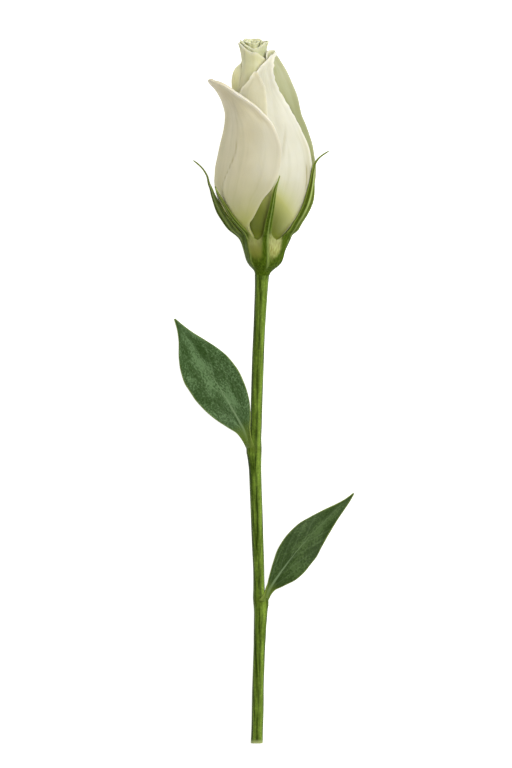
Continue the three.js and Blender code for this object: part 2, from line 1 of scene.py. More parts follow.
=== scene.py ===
"""Lisianthus: a half-open bloom on a cut stem with two leaves, lying on a pale surface.

Everything is drawn in the flower's own frame, in millimetres: Y runs up the stem axis from the
foot of the calyx, X is to the beholder's right and Z points at the beholder. Angles round the
bloom are in degrees, 0 towards the beholder and positive to the right. LyingFrame turns such a
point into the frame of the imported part, in metres.
"""
import logging
import math
from dataclasses import dataclass, field
from enum import Enum
from typing import Callable, Sequence

import bmesh
import bpy
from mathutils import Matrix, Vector


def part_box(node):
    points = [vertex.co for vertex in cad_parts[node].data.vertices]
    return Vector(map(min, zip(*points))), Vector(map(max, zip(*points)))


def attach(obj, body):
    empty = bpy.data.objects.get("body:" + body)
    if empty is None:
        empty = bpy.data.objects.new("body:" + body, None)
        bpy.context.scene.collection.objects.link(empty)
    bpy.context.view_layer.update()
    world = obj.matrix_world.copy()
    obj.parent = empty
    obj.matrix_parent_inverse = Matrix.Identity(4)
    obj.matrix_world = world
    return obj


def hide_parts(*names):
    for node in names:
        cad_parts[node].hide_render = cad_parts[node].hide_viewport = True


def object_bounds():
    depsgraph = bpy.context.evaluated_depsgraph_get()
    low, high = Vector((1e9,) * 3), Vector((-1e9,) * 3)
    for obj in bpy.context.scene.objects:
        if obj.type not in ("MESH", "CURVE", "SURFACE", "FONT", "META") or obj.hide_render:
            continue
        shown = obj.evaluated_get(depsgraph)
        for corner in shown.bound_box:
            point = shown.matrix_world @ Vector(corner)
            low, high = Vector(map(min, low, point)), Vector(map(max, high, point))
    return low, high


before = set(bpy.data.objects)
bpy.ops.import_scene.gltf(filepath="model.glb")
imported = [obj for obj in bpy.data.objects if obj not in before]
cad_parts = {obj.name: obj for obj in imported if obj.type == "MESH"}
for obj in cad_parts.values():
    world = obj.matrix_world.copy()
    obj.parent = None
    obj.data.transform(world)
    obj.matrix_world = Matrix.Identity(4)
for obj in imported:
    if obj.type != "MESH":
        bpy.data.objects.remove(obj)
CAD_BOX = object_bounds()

LOG = logging.getLogger("lisianthus")

MM = 0.001
BODY = "root"

Surface = Callable[[float, float], Vector]
Rule = Callable[[float, float], float]
Stations = Sequence[tuple[float, float]]
Colour = tuple[float, float, float, float]


class Slot(Enum):
    """The record's finishes, one for each kind of plant skin."""

    PETAL = "petal_cream"
    CALYX = "calyx_green"
    STEM = "stem_green"
    LEAF = "leaf_green"


class Curve:
    """A smooth curve through (position, value) stations that never overshoots them."""

    def __init__(self, stations: Stations) -> None:
        """Keeps the stations and works out the slope at each.

        Args:
            stations: positions in rising order, each with its value.
        """
        self.xs = [x for x, _ in stations]
        self.ys = [y for _, y in stations]
        rises = [
            (self.ys[i + 1] - self.ys[i]) / (self.xs[i + 1] - self.xs[i])
            for i in range(len(stations) - 1)
        ]
        self.slopes = []
        for i in range(len(stations)):
            before = rises[max(i - 1, 0)]
            after = rises[min(i, len(rises) - 1)]
            steady = before * after > 0
            self.slopes.append(2 * before * after / (before + after) if steady else 0.0)

    def __call__(self, x: float) -> float:
        """Gives the value at a position.

        Args:
            x: the position, held to the first or last station outside them.

        Returns:
            The value of the curve there.
        """
        if x <= self.xs[0]:
            return self.ys[0]
        if x >= self.xs[-1]:
            return self.ys[-1]
        i = next(k for k, edge in enumerate(self.xs) if edge > x) - 1
        width = self.xs[i + 1] - self.xs[i]
        t = (x - self.xs[i]) / width
        start = (1 + 2 * t) * (1 - t) ** 2
        turn = width * t * (1 - t) * ((1 - t) * self.slopes[i] - t * self.slopes[i + 1])
        return self.ys[i] * start + self.ys[i + 1] * (1 - start) + turn


def smooth(low: float, high: float, value: float) -> float:
    """Rises smoothly from 0 at low to 1 at high."""
    t = min(max((value - low) / (high - low), 0.0), 1.0)
    return t * t * (3 - 2 * t)


def blend(start: float, end: float, share: float) -> float:
    """Goes from start to end as share goes from 0 to 1."""
    return start + (end - start) * share


def within(rise: tuple[float, float], fall: tuple[float, float], value: float) -> float:
    """1 between two stretches, over which it rises from 0 and falls back to 0."""
    return smooth(*rise, value) * (1 - smooth(*fall, value))


def bell(offset: float, width: float) -> float:
    """1 at no offset, falling off to both sides over a width."""
    return math.exp(-((offset / width) ** 2))


def turned(angle: float, start: float) -> float:
    """How far an angle lies from another one, from -180 to 180 degrees."""
    return (angle - start + 180) % 360 - 180


def nowhere(_height: float, _angle: float) -> float:
    """Leaves a change of form or colour out all over a petal."""
    return 0.0


# The bloom: outline radius and sideways drift of its axis, as (height, millimetres)
BLOOM_RADIUS = Curve([
    (2.0, 3.0), (3.2, 3.5), (5.0, 4.1), (6.5, 4.6), (8.1, 5.25), (9.7, 6.35), (11.3, 7.75), (13.0, 9.05),
    (14.6, 10.2), (16.2, 11.15), (17.8, 12.0), (19.4, 12.7), (21.1, 13.25), (24.3, 13.8), (27.5, 13.7),
    (30.8, 13.15), (34.0, 12.55), (37.3, 11.6), (42.1, 10.4), (47.0, 9.4), (50.2, 8.35), (53.5, 7.3),
    (56.7, 5.5), (58.3, 4.65), (59.9, 4.3),
])
BLOOM_AXIS = Curve([
    (20, 0.15), (27, 0.6), (34, 0.8), (39, 0.5), (42, 0), (50, -0.25), (54, -0.7), (57, -0.8), (60, -1.3),
])
ROLL_RADIUS = Curve([
    (2.0, 2.05), (4.0, 2.3), (6.5, 2.6), (8, 3.1), (10, 3.9), (13, 5.0), (20, 6.2), (30, 6.6), (40, 5.9),
    (45, 5.9), (48, 5.3), (51, 4.55), (54, 3.85), (57, 3.6), (60, 3.75), (62.4, 4.05),
])
ROLL_AXIS = Curve([
    (30, 0), (38, -0.4), (45, -1.0), (50, -1.6), (54, -2.0), (57, -2.2), (61.6, -2.6),
])
LAYER_PITCH = 0.94

# The stem: its sideways drift and radius, and how the flower lies on its belly and cut end
STEM_FOOT = -127.8
STEM_FOOT_RADIUS = 1.6
STEM_TOP = -1.3
STEM_AXIS = Curve([
    (-127.8, -1.58), (-119, -1.33), (-113, -1.25), (-106, -1.02), (-93.4, -0.65), (-87, -0.92),
    (-80.5, -1.03), (-74, -1.28), (-64, -1.62), (-58, -1.85), (-52, -2.0), (-48, -1.98), (-41.6, -1.73),
    (-35, -1.55), (-28.6, -1.35), (-22, -1.13), (-15.7, -0.85), (-9.2, -0.52), (-6, -0.36), (-1.6, -0.14),
])
STEM_RADIUS = Curve([
    (-127.8, STEM_FOOT_RADIUS), (-124, 1.53), (-118, 1.57), (-110, 1.52), (-102, 1.53), (-98.5, 1.62),
    (-94.5, 1.66), (-92, 1.62), (-89, 1.72), (-86, 1.55), (-82, 1.5), (-76, 1.57), (-66, 1.63),
    (-58, 1.65), (-51, 1.73), (-48.5, 1.8), (-45, 1.6), (-38, 1.58), (-24, 1.62), (-18, 1.6), (-8, 1.72),
    (-4, 1.82), (-1.6, 1.95),
])
BELLY_HEIGHT = 24
BELLY_FLATTENING = 0.5
BELLY_DEPTH = BLOOM_RADIUS(BELLY_HEIGHT) - BELLY_FLATTENING
LYING_SLOPE = (BELLY_DEPTH - STEM_FOOT_RADIUS) / (BELLY_HEIGHT - STEM_FOOT)


def lean(outline: Curve, height: float) -> float:
    """How much a wall that follows an outline leans: thickness across over real thickness."""
    return math.hypot(1, outline(height + 0.5) - outline(height - 0.5))


def resting_surface(height: float) -> float:
    """Depth of the surface that the flower lies on, below a point of its axis."""
    return -BELLY_DEPTH + (BELLY_HEIGHT - height) * LYING_SLOPE


def round_point(axis: Callable[[float], float], angle: float, height: float, radius: float) -> Vector:
    """Gives a point at an angle and a distance from an axis that drifts sideways.

    Args:
        axis: sideways place of the axis at a height.
        angle: degrees round the axis, 0 towards the beholder.
        height: millimetres up the flower.
        radius: distance from the axis.

    Returns:
        The point, in the flower's frame.
    """
    turn = math.radians(angle)
    return Vector((axis(height) + radius * math.sin(turn), height, radius * math.cos(turn)))


class LyingFrame:
    """Carries points of the flower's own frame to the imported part, in metres."""

    def __init__(self) -> None:
        """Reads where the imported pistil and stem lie, which fixes the two offsets."""
        self.tilt = math.atan(LYING_SLOPE)
        low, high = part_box("pistil")
        self.across = (low[0] + high[0]) / 2
        foot = Vector((0, STEM_FOOT, STEM_FOOT_RADIUS)) * MM
        self.along = CAD_BOX[0][1] - (foot.y * math.cos(self.tilt) - foot.z * math.sin(self.tilt))

    def aim(self, point: Vector) -> Vector:
        """Turns a point into the part's frame.

        Args:
            point: the point in the flower's frame, in millimetres.

        Returns:
            The point in the part's frame, in metres.
        """
        y = point.y * math.cos(self.tilt) - point.z * math.sin(self.tilt)
        z = (point.z - resting_surface(point.y)) * math.cos(self.tilt)
        return Vector((point.x * MM + self.across, y * MM + self.along, z * MM))

    def place(self, point: Vector) -> Vector:
        """As aim, for a point of the flower itself, which never lies below the surface."""
        x, y, z = self.aim(point)
        return Vector((x, y, max(z, 0)))


LYING = LyingFrame()


def linear(hex_colour: str) -> Colour:
    """Turns an sRGB hex colour into the linear one that shaders read.

    Args:
        hex_colour: six hex digits.

    Returns:
        Linear red, green, blue and an alpha of 1.
    """
    values = [int(hex_colour[i:i + 2], 16) / 255 for i in (0, 2, 4)]
    linear_values = [v / 12.92 if v <= 0.04045 else ((v + 0.055) / 1.055) ** 2.4 for v in values]
    return (*linear_values, 1.0)


def add_node(tree: bpy.types.NodeTree, kind: str, inputs: dict | None = None,
             stops: Sequence[tuple[float, Colour]] = (), **settings) -> bpy.types.Node:
    """Adds a node, sets its properties and colour stops, and fills or links its inputs.

    Args:
        tree: the node tree that it goes into.
        kind: the node's type name.
        inputs: socket name or index to a plain value, or to another node's output socket.
        stops: for a colour ramp, positions from 0 to 1, each with a linear colour.
        settings: properties of the node itself.

    Returns:
        The new node.
    """
    node = tree.nodes.new(kind)
    for key, value in settings.items():
        setattr(node, key, value)
    for key, value in (inputs or {}).items():
        if isinstance(value, bpy.types.NodeSocket):
            tree.links.new(value, node.inputs[key])
        else:
            node.inputs[key].default_value = value
    if stops:
        elements = node.color_ramp.elements
        elements[0].position, elements[0].color = stops[0]
        elements[1].position, elements[1].color = stops[-1]
        for position, colour in stops[1:-1]:
            elements.new(position).color = colour
    return node


def grey(value: float) -> Colour:
    """A grey of that linear value."""
    return (value, value, value, 1.0)


@dataclass(frozen=True)
class Pattern:
    """A random pattern in a skin, by the real size of its grains in millimetres."""

    across: float
    along: float
    detail: float = 2.0
    roughness: float = 0.5
    distortion: float = 0.0

    def on_sheet(self, tree: bpy.types.NodeTree, width: float, height: float) -> bpy.types.NodeSocket:
        """Lays the pattern along a sheet.

        Args:
            tree: the node tree that it goes into.
            width: what the sheet's UV map spans across, in millimetres.
            height: what it spans from foot to tip.

        Returns:
            The pattern, from 0 to 1.
        """
        uv = add_node(tree, "ShaderNodeUVMap", uv_map="UVMap").outputs["UV"]
        return self.laid(tree, uv, (width / self.across, height / self.along, 1))

    def in_body(self, tree: bpy.types.NodeTree) -> bpy.types.NodeSocket:
        """Runs the pattern through a solid piece, its length up the flower."""
        place = add_node(tree, "ShaderNodeTexCoord").outputs["Object"]
        return self.laid(tree, place, [1 / (size * MM) for size in (self.across, self.along, self.across)])

    def laid(self, tree: bpy.types.NodeTree, place: bpy.types.NodeSocket,
             scale: Sequence[float]) -> bpy.types.NodeSocket:
        """Adds the pattern on some coordinates.

        Args:
            tree: the node tree that it goes into.
            place: the coordinates.
            scale: how many grains go into one unit of each coordinate.

        Returns:
            The pattern, from 0 to 1.
        """
        stretched = add_node(tree, "ShaderNodeMapping", {"Vector": place, "Scale": scale})
        noise = add_node(tree, "ShaderNodeTexNoise", {
            "Vector": stretched.outputs["Vector"], "Scale": 1.0, "Detail": self.detail,
            "Roughness": self.roughness, "Distortion": self.distortion,
        })
        return noise.outputs["Fac"]


def painted(tree: bpy.types.NodeTree, colour: bpy.types.NodeSocket,
            coats: dict[str, str | bpy.types.NodeSocket], cover: float = 1.0) -> bpy.types.NodeSocket:
    """Lays colours over one another, each as far as a mark on the mesh says.

    Args:
        tree: the node tree that they go into.
        colour: what lies underneath.
        coats: each mark's name with its sRGB hex colour or colour socket, from the lowest up.
        cover: how much a coat hides where its mark is 1.

    Returns:
        The colour with its coats.
    """
    for mark, coat in coats.items():
        over = linear(coat) if isinstance(coat, str) else coat
        laid = add_node(tree, "ShaderNodeAttribute", attribute_name=mark).outputs["Fac"]
        share = add_node(tree, "ShaderNodeMath", {0: laid, 1: cover}, operation="MULTIPLY").outputs[0]
        colour = add_node(tree, "ShaderNodeMix", {0: share, 6: colour, 7: over}, data_type="RGBA").outputs[2]
    return colour


def surfaced(tree: bpy.types.NodeTree, inputs: dict, relief: bpy.types.NodeSocket | None = None,
             strength: float = 0.0, depth_mm: float = 0.3) -> None:
    """Ends a material with its surface, with or without fine relief, and its output.

    Args:
        tree: the node tree that they go into.
        inputs: the surface's sockets, each with its value or link.
        relief: the pattern that stands out of the surface.
        strength: how strongly the relief shows, from 0 to 1.
        depth_mm: how far it stands out, in millimetres.
    """
    if relief is not None:
        bump = add_node(tree, "ShaderNodeBump", {
            "Height": relief, "Strength": strength, "Distance": depth_mm * MM,
        })
        inputs = {**inputs, "Normal": bump.outputs["Normal"]}
    shader = add_node(tree, "ShaderNodeBsdfPrincipled", inputs)
    add_node(tree, "ShaderNodeOutputMaterial", {"Surface": shader.outputs["BSDF"]})


class Finish:
    """What a piece is made of: each kind has a name and lays its own nodes."""

    name: str

    def build(self) -> bpy.types.Material:
        """Makes the material.

        Returns:
            The material, with the nodes that its kind lays.
        """
        material = bpy.data.materials.new(self.name)
        material.use_nodes = True
        material.node_tree.nodes.clear()
        self.lay(material.node_tree)
        return material


@dataclass(frozen=True)
class PetalSkin(Finish):
    """Petal skin: thin, soft and faintly waxy, so light sinks in and comes back warm.

    The eye sees cream flesh that turns yellow-green towards the claw, with fine veins that
    run from claw to rim and a paler rim, which is partly a painted highlight where the margin
    curls. Painted shading darkens a petal where it turns away from the light and lightens the
    roll's shadowed side; painted shade greys a petal's lit side and darkens the hollows of
    pleats and the strips that other petals' margins shade.
    """

    name: str
    flesh: str
    shade: str
    lime: str = "AEB158"
    claw: str = "68730F"
    crease_shade: str = "8C8138"
    rim: str = "EEEADF"
    dusk: str = "B1A878"
    shadow: str = "ABA998"
    rim_cover: float = 0.55
    vein_cover: float = 0.09
    width_mm: float = 25.0
    height_mm: float = 50.0

    def lay(self, tree: bpy.types.NodeTree) -> None:
        """Lays the nodes, with veins about 0.9 mm apart and blotches of 6 by 9 mm.

        Args:
            tree: the material's node tree.
        """
        span = (self.width_mm, self.height_mm)
        veins = Pattern(0.9, 18, detail=3.0, roughness=0.55, distortion=0.25).on_sheet(tree, *span)
        # The skin's own grain is too fine to show, so it is drawn several times as coarse
        grain = Pattern(0.35, 1.1, roughness=0.6).on_sheet(tree, *span)
        blotches = Pattern(6, 9).on_sheet(tree, *span)
        flesh = add_node(tree, "ShaderNodeValToRGB", {"Fac": blotches}, stops=[
            (0.3, linear(self.flesh)), (0.7, linear(self.shade)),
        ])
        vein_share = add_node(tree, "ShaderNodeValToRGB", {"Fac": veins}, stops=[
            (0.35, grey(self.vein_cover)), (0.5, grey(0)),
        ])
        veined = add_node(tree, "ShaderNodeMix", {
            0: vein_share.outputs["Color"], 6: flesh.outputs["Color"], 7: linear(self.claw),
        }, data_type="RGBA")
        # Painted shade greys the flesh; painted shading darkens it where it turns from the light and lightens
        # the roll where it lies in shadow
        colour = painted(tree, veined.outputs[2], {"shadow": self.shadow, "dusk": self.dusk})
        green = add_node(tree, "ShaderNodeAttribute", attribute_name="green").outputs["Fac"]
        for tint, low, high in ((self.lime, 0.0, 0.5), (self.claw, 0.45, 1.0)):
            share = add_node(tree, "ShaderNodeValToRGB", {"Fac": green}, stops=[
                (low, grey(0)), (high, grey(1)),
            ])
            colour = add_node(tree, "ShaderNodeMix", {
                0: share.outputs["Color"], 6: colour, 7: linear(tint),
            }, data_type="RGBA").outputs[2]
        # Painted shade in the hollows of pleats and beside margins that lie over the petal
        crease_shaded = painted(tree, colour, {"fold": self.crease_shade})
        relief = add_node(tree, "ShaderNodeMath", {0: veins, 1: 0.7, 2: grain}, operation="MULTIPLY_ADD")
        # The rim coat is a paler margin, partly a painted highlight where the margin curls
        surfaced(tree, {
            "Base Color": painted(tree, crease_shaded, {"rim": self.rim}, cover=self.rim_cover),
            "Roughness": 0.5, "IOR": 1.42, "Sheen Weight": 0.12, "Sheen Roughness": 0.5,
            "Subsurface Weight": 0.35, "Subsurface Radius": (1.0, 0.85, 0.5), "Subsurface Scale": 1.6 * MM,
        }, relief.outputs[0], strength=0.16)


@dataclass(frozen=True)
class CalyxSkin(Finish):
    """Calyx skin: fleshy and waxy, dark green on the keels and pale yellow-green between them."""

    name: str = "Calyx skin"
    keel: str = "334906"
    flank: str = "566E1A"
    membrane: str = "B0B872"
    blush: str = "858241"
    veil: str = "BFC298"
    painted_shade_left: str = "767A34"
    olive_and_painted_shade: str = "40420E"
    rim: str = "899A48"
    highlight_line: str = "ADC070"

    def lay(self, tree: bpy.types.NodeTree) -> None:
        """Lays the nodes, with streaks 0.4 mm wide and 4 mm long.

        Args:
            tree: the material's node tree.
        """
        streaks = Pattern(0.4, 4, detail=3.0, roughness=0.6).in_body(tree)
        flesh = add_node(tree, "ShaderNodeValToRGB", {"Fac": streaks}, stops=[
            (0.35, linear(self.keel)), (0.68, linear(self.flank)),
        ])
        fresh = add_node(tree, "ShaderNodeValToRGB", {"Fac": streaks}, stops=[
            (0.35, linear(self.blush)), (0.68, linear(self.membrane)),
        ])
        # Painted shade dulls the pale skin left of the front keel; the olive coat is the lobes' own olive and
        # partly painted shade; the veil is stronger on the lit right side, which is painted light; the light
        # line beside each keel is a painted highlight
        pale = painted(tree, fresh.outputs["Color"], {"painted_shade_left": self.painted_shade_left})
        colour = painted(tree, flesh.outputs["Color"], {
            "olive_and_painted_shade": self.olive_and_painted_shade, "membrane": pale, "veil": self.veil, "rim": self.rim, "highlight_line": self.highlight_line,
        })
        surfaced(tree, {
            "Base Color": colour, "Roughness": 0.42, "IOR": 1.4, "Specular IOR Level": 0.02,
            "Subsurface Weight": 0.12, "Subsurface Radius": (0.6, 1.0, 0.3), "Subsurface Scale": 0.5 * MM,
        }, streaks, strength=0.3)


@dataclass(frozen=True)
class StemSkin(Finish):
    """Stem skin: smooth, waxy and green, with soft lengthwise streaks, painted light and shade along its
    ridges, and a pale cut end.
    """

    name: str = "Stem skin"
    dark: str = "293B02"
    light: str = "7B9638"
    node: str = "445210"
    cut: str = "A3AD74"

    def lay(self, tree: bpy.types.NodeTree) -> None:
        """Lays the nodes, with streaks 0.7 mm wide and 15 mm long, and flecks of 0.6 mm.

        Args:
            tree: the material's node tree.
        """
        streaks = Pattern(0.7, 15, detail=3.0, roughness=0.55).in_body(tree)
        flecks = Pattern(0.6, 0.6, roughness=0.6).in_body(tree)
        # The ridge mark is painted light and shade: it lifts the colour towards light green on the lit ridges
        # and the lit side, and holds it dark on the shaded left side and under the calyx
        ridge = add_node(tree, "ShaderNodeAttribute", attribute_name="ridge").outputs["Fac"]
        lift = add_node(tree, "ShaderNodeMath", {0: ridge, 1: 0.32, 2: streaks}, operation="MULTIPLY_ADD")
        streaked = add_node(tree, "ShaderNodeValToRGB", {"Fac": lift.outputs[0]}, stops=[
            (0.4, linear(self.dark)), (0.92, linear(self.light)),
        ])
        flecked = add_node(tree, "ShaderNodeValToRGB", {"Fac": flecks}, stops=[
            (0.3, grey(0.8)), (0.58, grey(1.0)), (0.72, grey(1.45)),
        ])
        skin = add_node(tree, "ShaderNodeMix", {
            0: 1.0, 6: streaked.outputs["Color"], 7: flecked.outputs["Color"],
        }, data_type="RGBA", blend_type="MULTIPLY")
        surfaced(tree, {
            "Base Color": painted(tree, skin.outputs[2], {"joint": self.node, "cut": self.cut}),
            "Roughness": 0.36, "IOR": 1.4, "Specular IOR Level": 0.05,
            "Subsurface Weight": 0.08, "Subsurface Radius": (0.6, 1.0, 0.3), "Subsurface Scale": 0.5 * MM,
        }, streaks, strength=0.35)


@dataclass(frozen=True)
class LeafSkin(Finish):
    """Leaf skin: grey-green with a waxy bloom, so speckles look paler and the sheen is broad."""

    name: str
    deep: str
    bloom: str
    vein: str = "80966F"
    rim: str = "9AA858"
    foot: str = "5F7328"
    length_mm: float = 40.0
    width_mm: float = 14.0

    def lay(self, tree: bpy.types.NodeTree) -> None:
        """Lays the nodes, with waxy speckles of 0.45 by 0.75 mm in clouds of 4 by 8 mm.

        Args:
            tree: the material's node tree.
        """
        span = (self.width_mm, self.length_mm)
        # The bloom is a dust too fine to show, so its speckles are drawn as coarse as they need
        speckles = Pattern(0.45, 0.75, detail=4.0, roughness=0.75).on_sheet(tree, *span)
        clouds = Pattern(4, 8).on_sheet(tree, *span)
        wax = add_node(tree, "ShaderNodeAttribute", attribute_name="wax").outputs["Fac"]
        clouded = add_node(tree, "ShaderNodeMath", {0: clouds, 1: 0.7, 2: speckles}, operation="MULTIPLY_ADD")
        patched = add_node(tree, "ShaderNodeMath", {
            0: wax, 1: 0.08, 2: clouded.outputs[0],
        }, operation="MULTIPLY_ADD")
        waxed = add_node(tree, "ShaderNodeValToRGB", {"Fac": patched.outputs[0]}, stops=[
            (0.68, grey(0)), (0.88, grey(0.3)), (1.0, grey(1)),
        ])
        flesh = add_node(tree, "ShaderNodeMix", {
            0: waxed.outputs["Color"], 6: linear(self.deep), 7: linear(self.bloom),
        }, data_type="RGBA")
        colour = painted(tree, flesh.outputs[2], {"vein": self.vein, "rim": self.rim, "foot": self.foot})
        surfaced(tree, {
            "Base Color": colour, "Roughness": 0.45, "IOR": 1.4, "Specular IOR Level": 0.12,
            "Subsurface Weight": 0.05, "Subsurface Radius": (0.5, 1.0, 0.3), "Subsurface Scale": 0.4 * MM,
        }, speckles, strength=0.35)


@dataclass(frozen=True)
class InnerFlesh(Finish):
    """Moist flesh of the pistil or the stamens: pale, soft and slightly glossy."""

    name: str
    pale: str
    deep: str

    def lay(self, tree: bpy.types.NodeTree) -> None:
        """Lays the nodes, with mottling of a millimetre.

        Args:
            tree: the material's node tree.
        """
        colour = add_node(tree, "ShaderNodeValToRGB", {"Fac": Pattern(1, 1).in_body(tree)}, stops=[
            (0.35, linear(self.pale)), (0.65, linear(self.deep)),
        ])
        surfaced(tree, {"Base Color": colour.outputs["Color"], "Roughness": 0.45, "IOR": 1.42})


@dataclass(frozen=True)
class OpalBoard(Finish):
    """Opal acrylic over a light box: a near-white floor that glows by itself."""

    name: str = "Opal acrylic floor"
    colour: str = "B8B8B7"
    light: str = "F4F4F3"
    glow: float = 1.0

    def lay(self, tree: bpy.types.NodeTree) -> None:
        """Lays the nodes, with its matt tooth drawn at 0.4 mm, as coarse as it needs to show.

        Args:
            tree: the material's node tree.
        """
        surfaced(tree, {
            "Base Color": linear(self.colour), "Roughness": 0.8,
            "Emission Color": linear(self.light), "Emission Strength": self.glow,
        }, Pattern(0.4, 0.4).in_body(tree), strength=0.05, depth_mm=0.1)


def deselect_all() -> None:
    """Clears the selection, so that an operator acts only on what follows."""
    bpy.ops.object.select_all(action="DESELECT")


def only(piece: bpy.types.Object) -> None:
    """Makes a piece the one selected and active object.

    Args:
        piece: the piece.
    """
    deselect_all()
    piece.select_set(True)
    bpy.context.view_layer.objects.active = piece


def apply_modifiers(piece: bpy.types.Object) -> None:
    """Applies every modifier of a piece in its order.

    Args:
        piece: the piece.
    """
    only(piece)
    for modifier in list(piece.modifiers):
        bpy.ops.object.modifier_apply(modifier=modifier.name)


def dress(piece: bpy.types.Object, material: bpy.types.Material, nodes: Sequence[str]) -> None:
    """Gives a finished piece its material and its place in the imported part.

    Args:
        piece: the finished mesh object.
        material: what it is made of.
        nodes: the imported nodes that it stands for.
    """
    piece.data.materials.clear()
    piece.data.materials.append(material)
    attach(piece, BODY)
    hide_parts(*nodes)
    LOG.info("%s: %d faces, stands for %s", piece.name, len(piece.data.polygons), ", ".join(nodes))


def give_wall(piece: bpy.types.Object, thickness: float, group: str = "", thin_share: float = 0.0) -> None:
    """Thickens a sheet inwards from its outer face and rounds it off.

    Args:
        piece: the sheet.
        thickness: its greatest thickness, in millimetres.
        group: the vertex group that says where it is thick, when it isn't so all over.
        thin_share: the least thickness as a share of the greatest.
    """
    wall = piece.modifiers.new("wall", "SOLIDIFY")
    wall.thickness = thickness * MM
    wall.offset = -1
    wall.vertex_group = group
    wall.thickness_vertex_group = thin_share
    soften = piece.modifiers.new("soften", "SUBSURF")
    soften.levels = 1
    soften.render_levels = 1
    apply_modifiers(piece)
    bpy.ops.object.shade_smooth()


@dataclass
class SheetMaker:
    """Bends a flat grid into a thin sheet with two faces and a rounded rim."""

    name: str
    surface: Surface
    columns: int
    rows: int
    thickness: float
    rim_thickness: float
    marks: dict[str, Rule]
    crowding: float = 0.55

    def crowded(self, share: float) -> float:
        """Moves grid lines towards both margins, where the form is finest."""
        return share - self.crowding * math.sin(2 * math.pi * share) / (2 * math.pi)

    def build(self) -> bpy.types.Object:
        """Makes the sheet, its marks and its thickness.

        Returns:
            The finished object, at the origin, with its place in its mesh.
        """
        deselect_all()
        bpy.ops.mesh.primitive_grid_add(x_subdivisions=self.columns, y_subdivisions=self.rows, size=1)
        sheet = bpy.context.object
        sheet.name = self.name
        sheet.data.name = self.name
        mesh = sheet.data
        places = [
            (self.crowded(min(max(vertex.co.x + 0.5, 0), 1)), min(max(vertex.co.y + 0.5, 0), 1))
            for vertex in mesh.vertices
        ]
        for mark, rule in self.marks.items():
            layer = mesh.attributes.new(mark, "FLOAT", "POINT")
            layer.data.foreach_set("value", [min(max(rule(u, v), 0), 1) for u, v in places])
        group = sheet.vertex_groups.new(name="thickness")
        for vertex, (u, v) in zip(mesh.vertices, places):
            rim = max(self.rim_nearness(u), self.rim_nearness(v) if v > 0.5 else 0)
            group.add([vertex.index], rim if self.rim_thickness > self.thickness else 1 - rim, "REPLACE")
            vertex.co = LYING.place(self.surface(u, v))
        thin, thick = sorted((self.thickness, self.rim_thickness))
        give_wall(sheet, thick, group.name, thin / thick)
        return sheet

    @staticmethod
    def rim_nearness(share: float) -> float:
        """1 on a margin of the grid, fading to 0 a tenth of the way in."""
        return 1 - smooth(0, 0.1, min(share, 1 - share))


# Height of every petal's foot, and heights over which the petals part into layers
PETAL_FOOT = 2.0
OUTER_OVERLAP = (4.5, 6.5)
ROLL_OVERLAP = (10.5, 14)

# The beak of the front left petal: how far it reaches out by height, where and how wide
BEAK_REACH = Curve([(41.8, 0), (45.4, 1.25), (47.3, 2.6), (48.8, 4.1), (49.7, 5.3), (50.4, 6.1), (51.3, 6.5)])
BEAK_ANGLE = -82
BEAK_SPREAD = 40

# How the front right petal dives under its neighbours: layers, angles and heights
DIVE_LAYERS = 2
DIVE_FOOT_LAYERS = 1.1
DIVE_ANGLES = (68, 21)
DIVE_START = (6.5, 11)
DIVE_EASE = (53, 57)
DIVE_EASE_SHARE = 0.5


def beak_flare(height: float, angle: float) -> float:
    """Curls the front left petal out into a beak and flattens its left and right sides.

    Args:
        height: millimetres up the flower.
        angle: degrees round the bloom's axis.

    Returns:
        How far it stands beyond the outline, in millimetres.
    """
    beak = BEAK_REACH(height) * bell(angle - BEAK_ANGLE, BEAK_SPREAD)
    side = 0.42 * smooth(-50, -85, angle) * within((16, 20), (42, 46), height)
    front = 0.5 * smooth(-4, 24, angle) * within((17, 24), (38, 44), height)
    return beak - side - front


def left_painted_shade(height: float, angle: float) -> float:
    """Painted shade on the front left petal's left side, which turns away from the light."""
    return 0.85 * smooth(-44, -76, angle) * (1 - smooth(40, 46, height))


def left_shadow(height: float, angle: float) -> float:
    """Painted shade: the front left petal is greyer towards its right margin, where the light falls."""
    return 0.55 * smooth(-26, 2, angle) * within((12, 18), (36, 43), height)


FRONT_RIGHT_MARGIN_STATIONS = (
    (2, 58), (6.5, 62), (9.6, 66), (31.6, 65.3), (33.3, 64), (35.1, 62), (38.3, 58.8), (41.8, 54),
    (45.1, 44.6), (48.3, 36), (51.8, 32.5), (55.5, 41.5), (57.2, 52), (58.8, 76),
)
FRONT_RIGHT_MARGIN = Curve(FRONT_RIGHT_MARGIN_STATIONS)


def past_front_right(height: float, angle: float) -> float:
    """Millimetres that a place lies to the right of the front right petal's margin, or 0."""
    return max(math.radians(angle - FRONT_RIGHT_MARGIN(height)) * BLOOM_RADIUS(height), 0)


def right_margin_shadow(height: float, angle: float) -> float:
    """Painted shadow: a dark line along the right petal, beside the margin in front of it."""
    line = bell(max(past_front_right(height, angle) - 1.3, 0), 0.8)
    return 0.8 * line * within((20, 28), (40, 48), height)


def right_painted_shade(height: float, angle: float) -> float:
    """Paints shade on the right petal half way up, most of all beside the margin in front of it.

    Args:
        height: millimetres up the flower.
        angle: degrees round the bloom's axis.

    Returns:
        How much of the painted shade shows.
    """
    reach = blend(2.2, 1.0, smooth(38, 46, height))
    beside = 0.9 * bell(past_front_right(height, angle), reach) * smooth(20, 28, height)
    middle = blend(0.95, 0.5, smooth(28, 36, height)) * within((14, 20), (40, 52), height)
    in_front = 1 - smooth(94, 124, angle)
    return max(beside * (1 - smooth(50, 56, height)), middle * in_front)


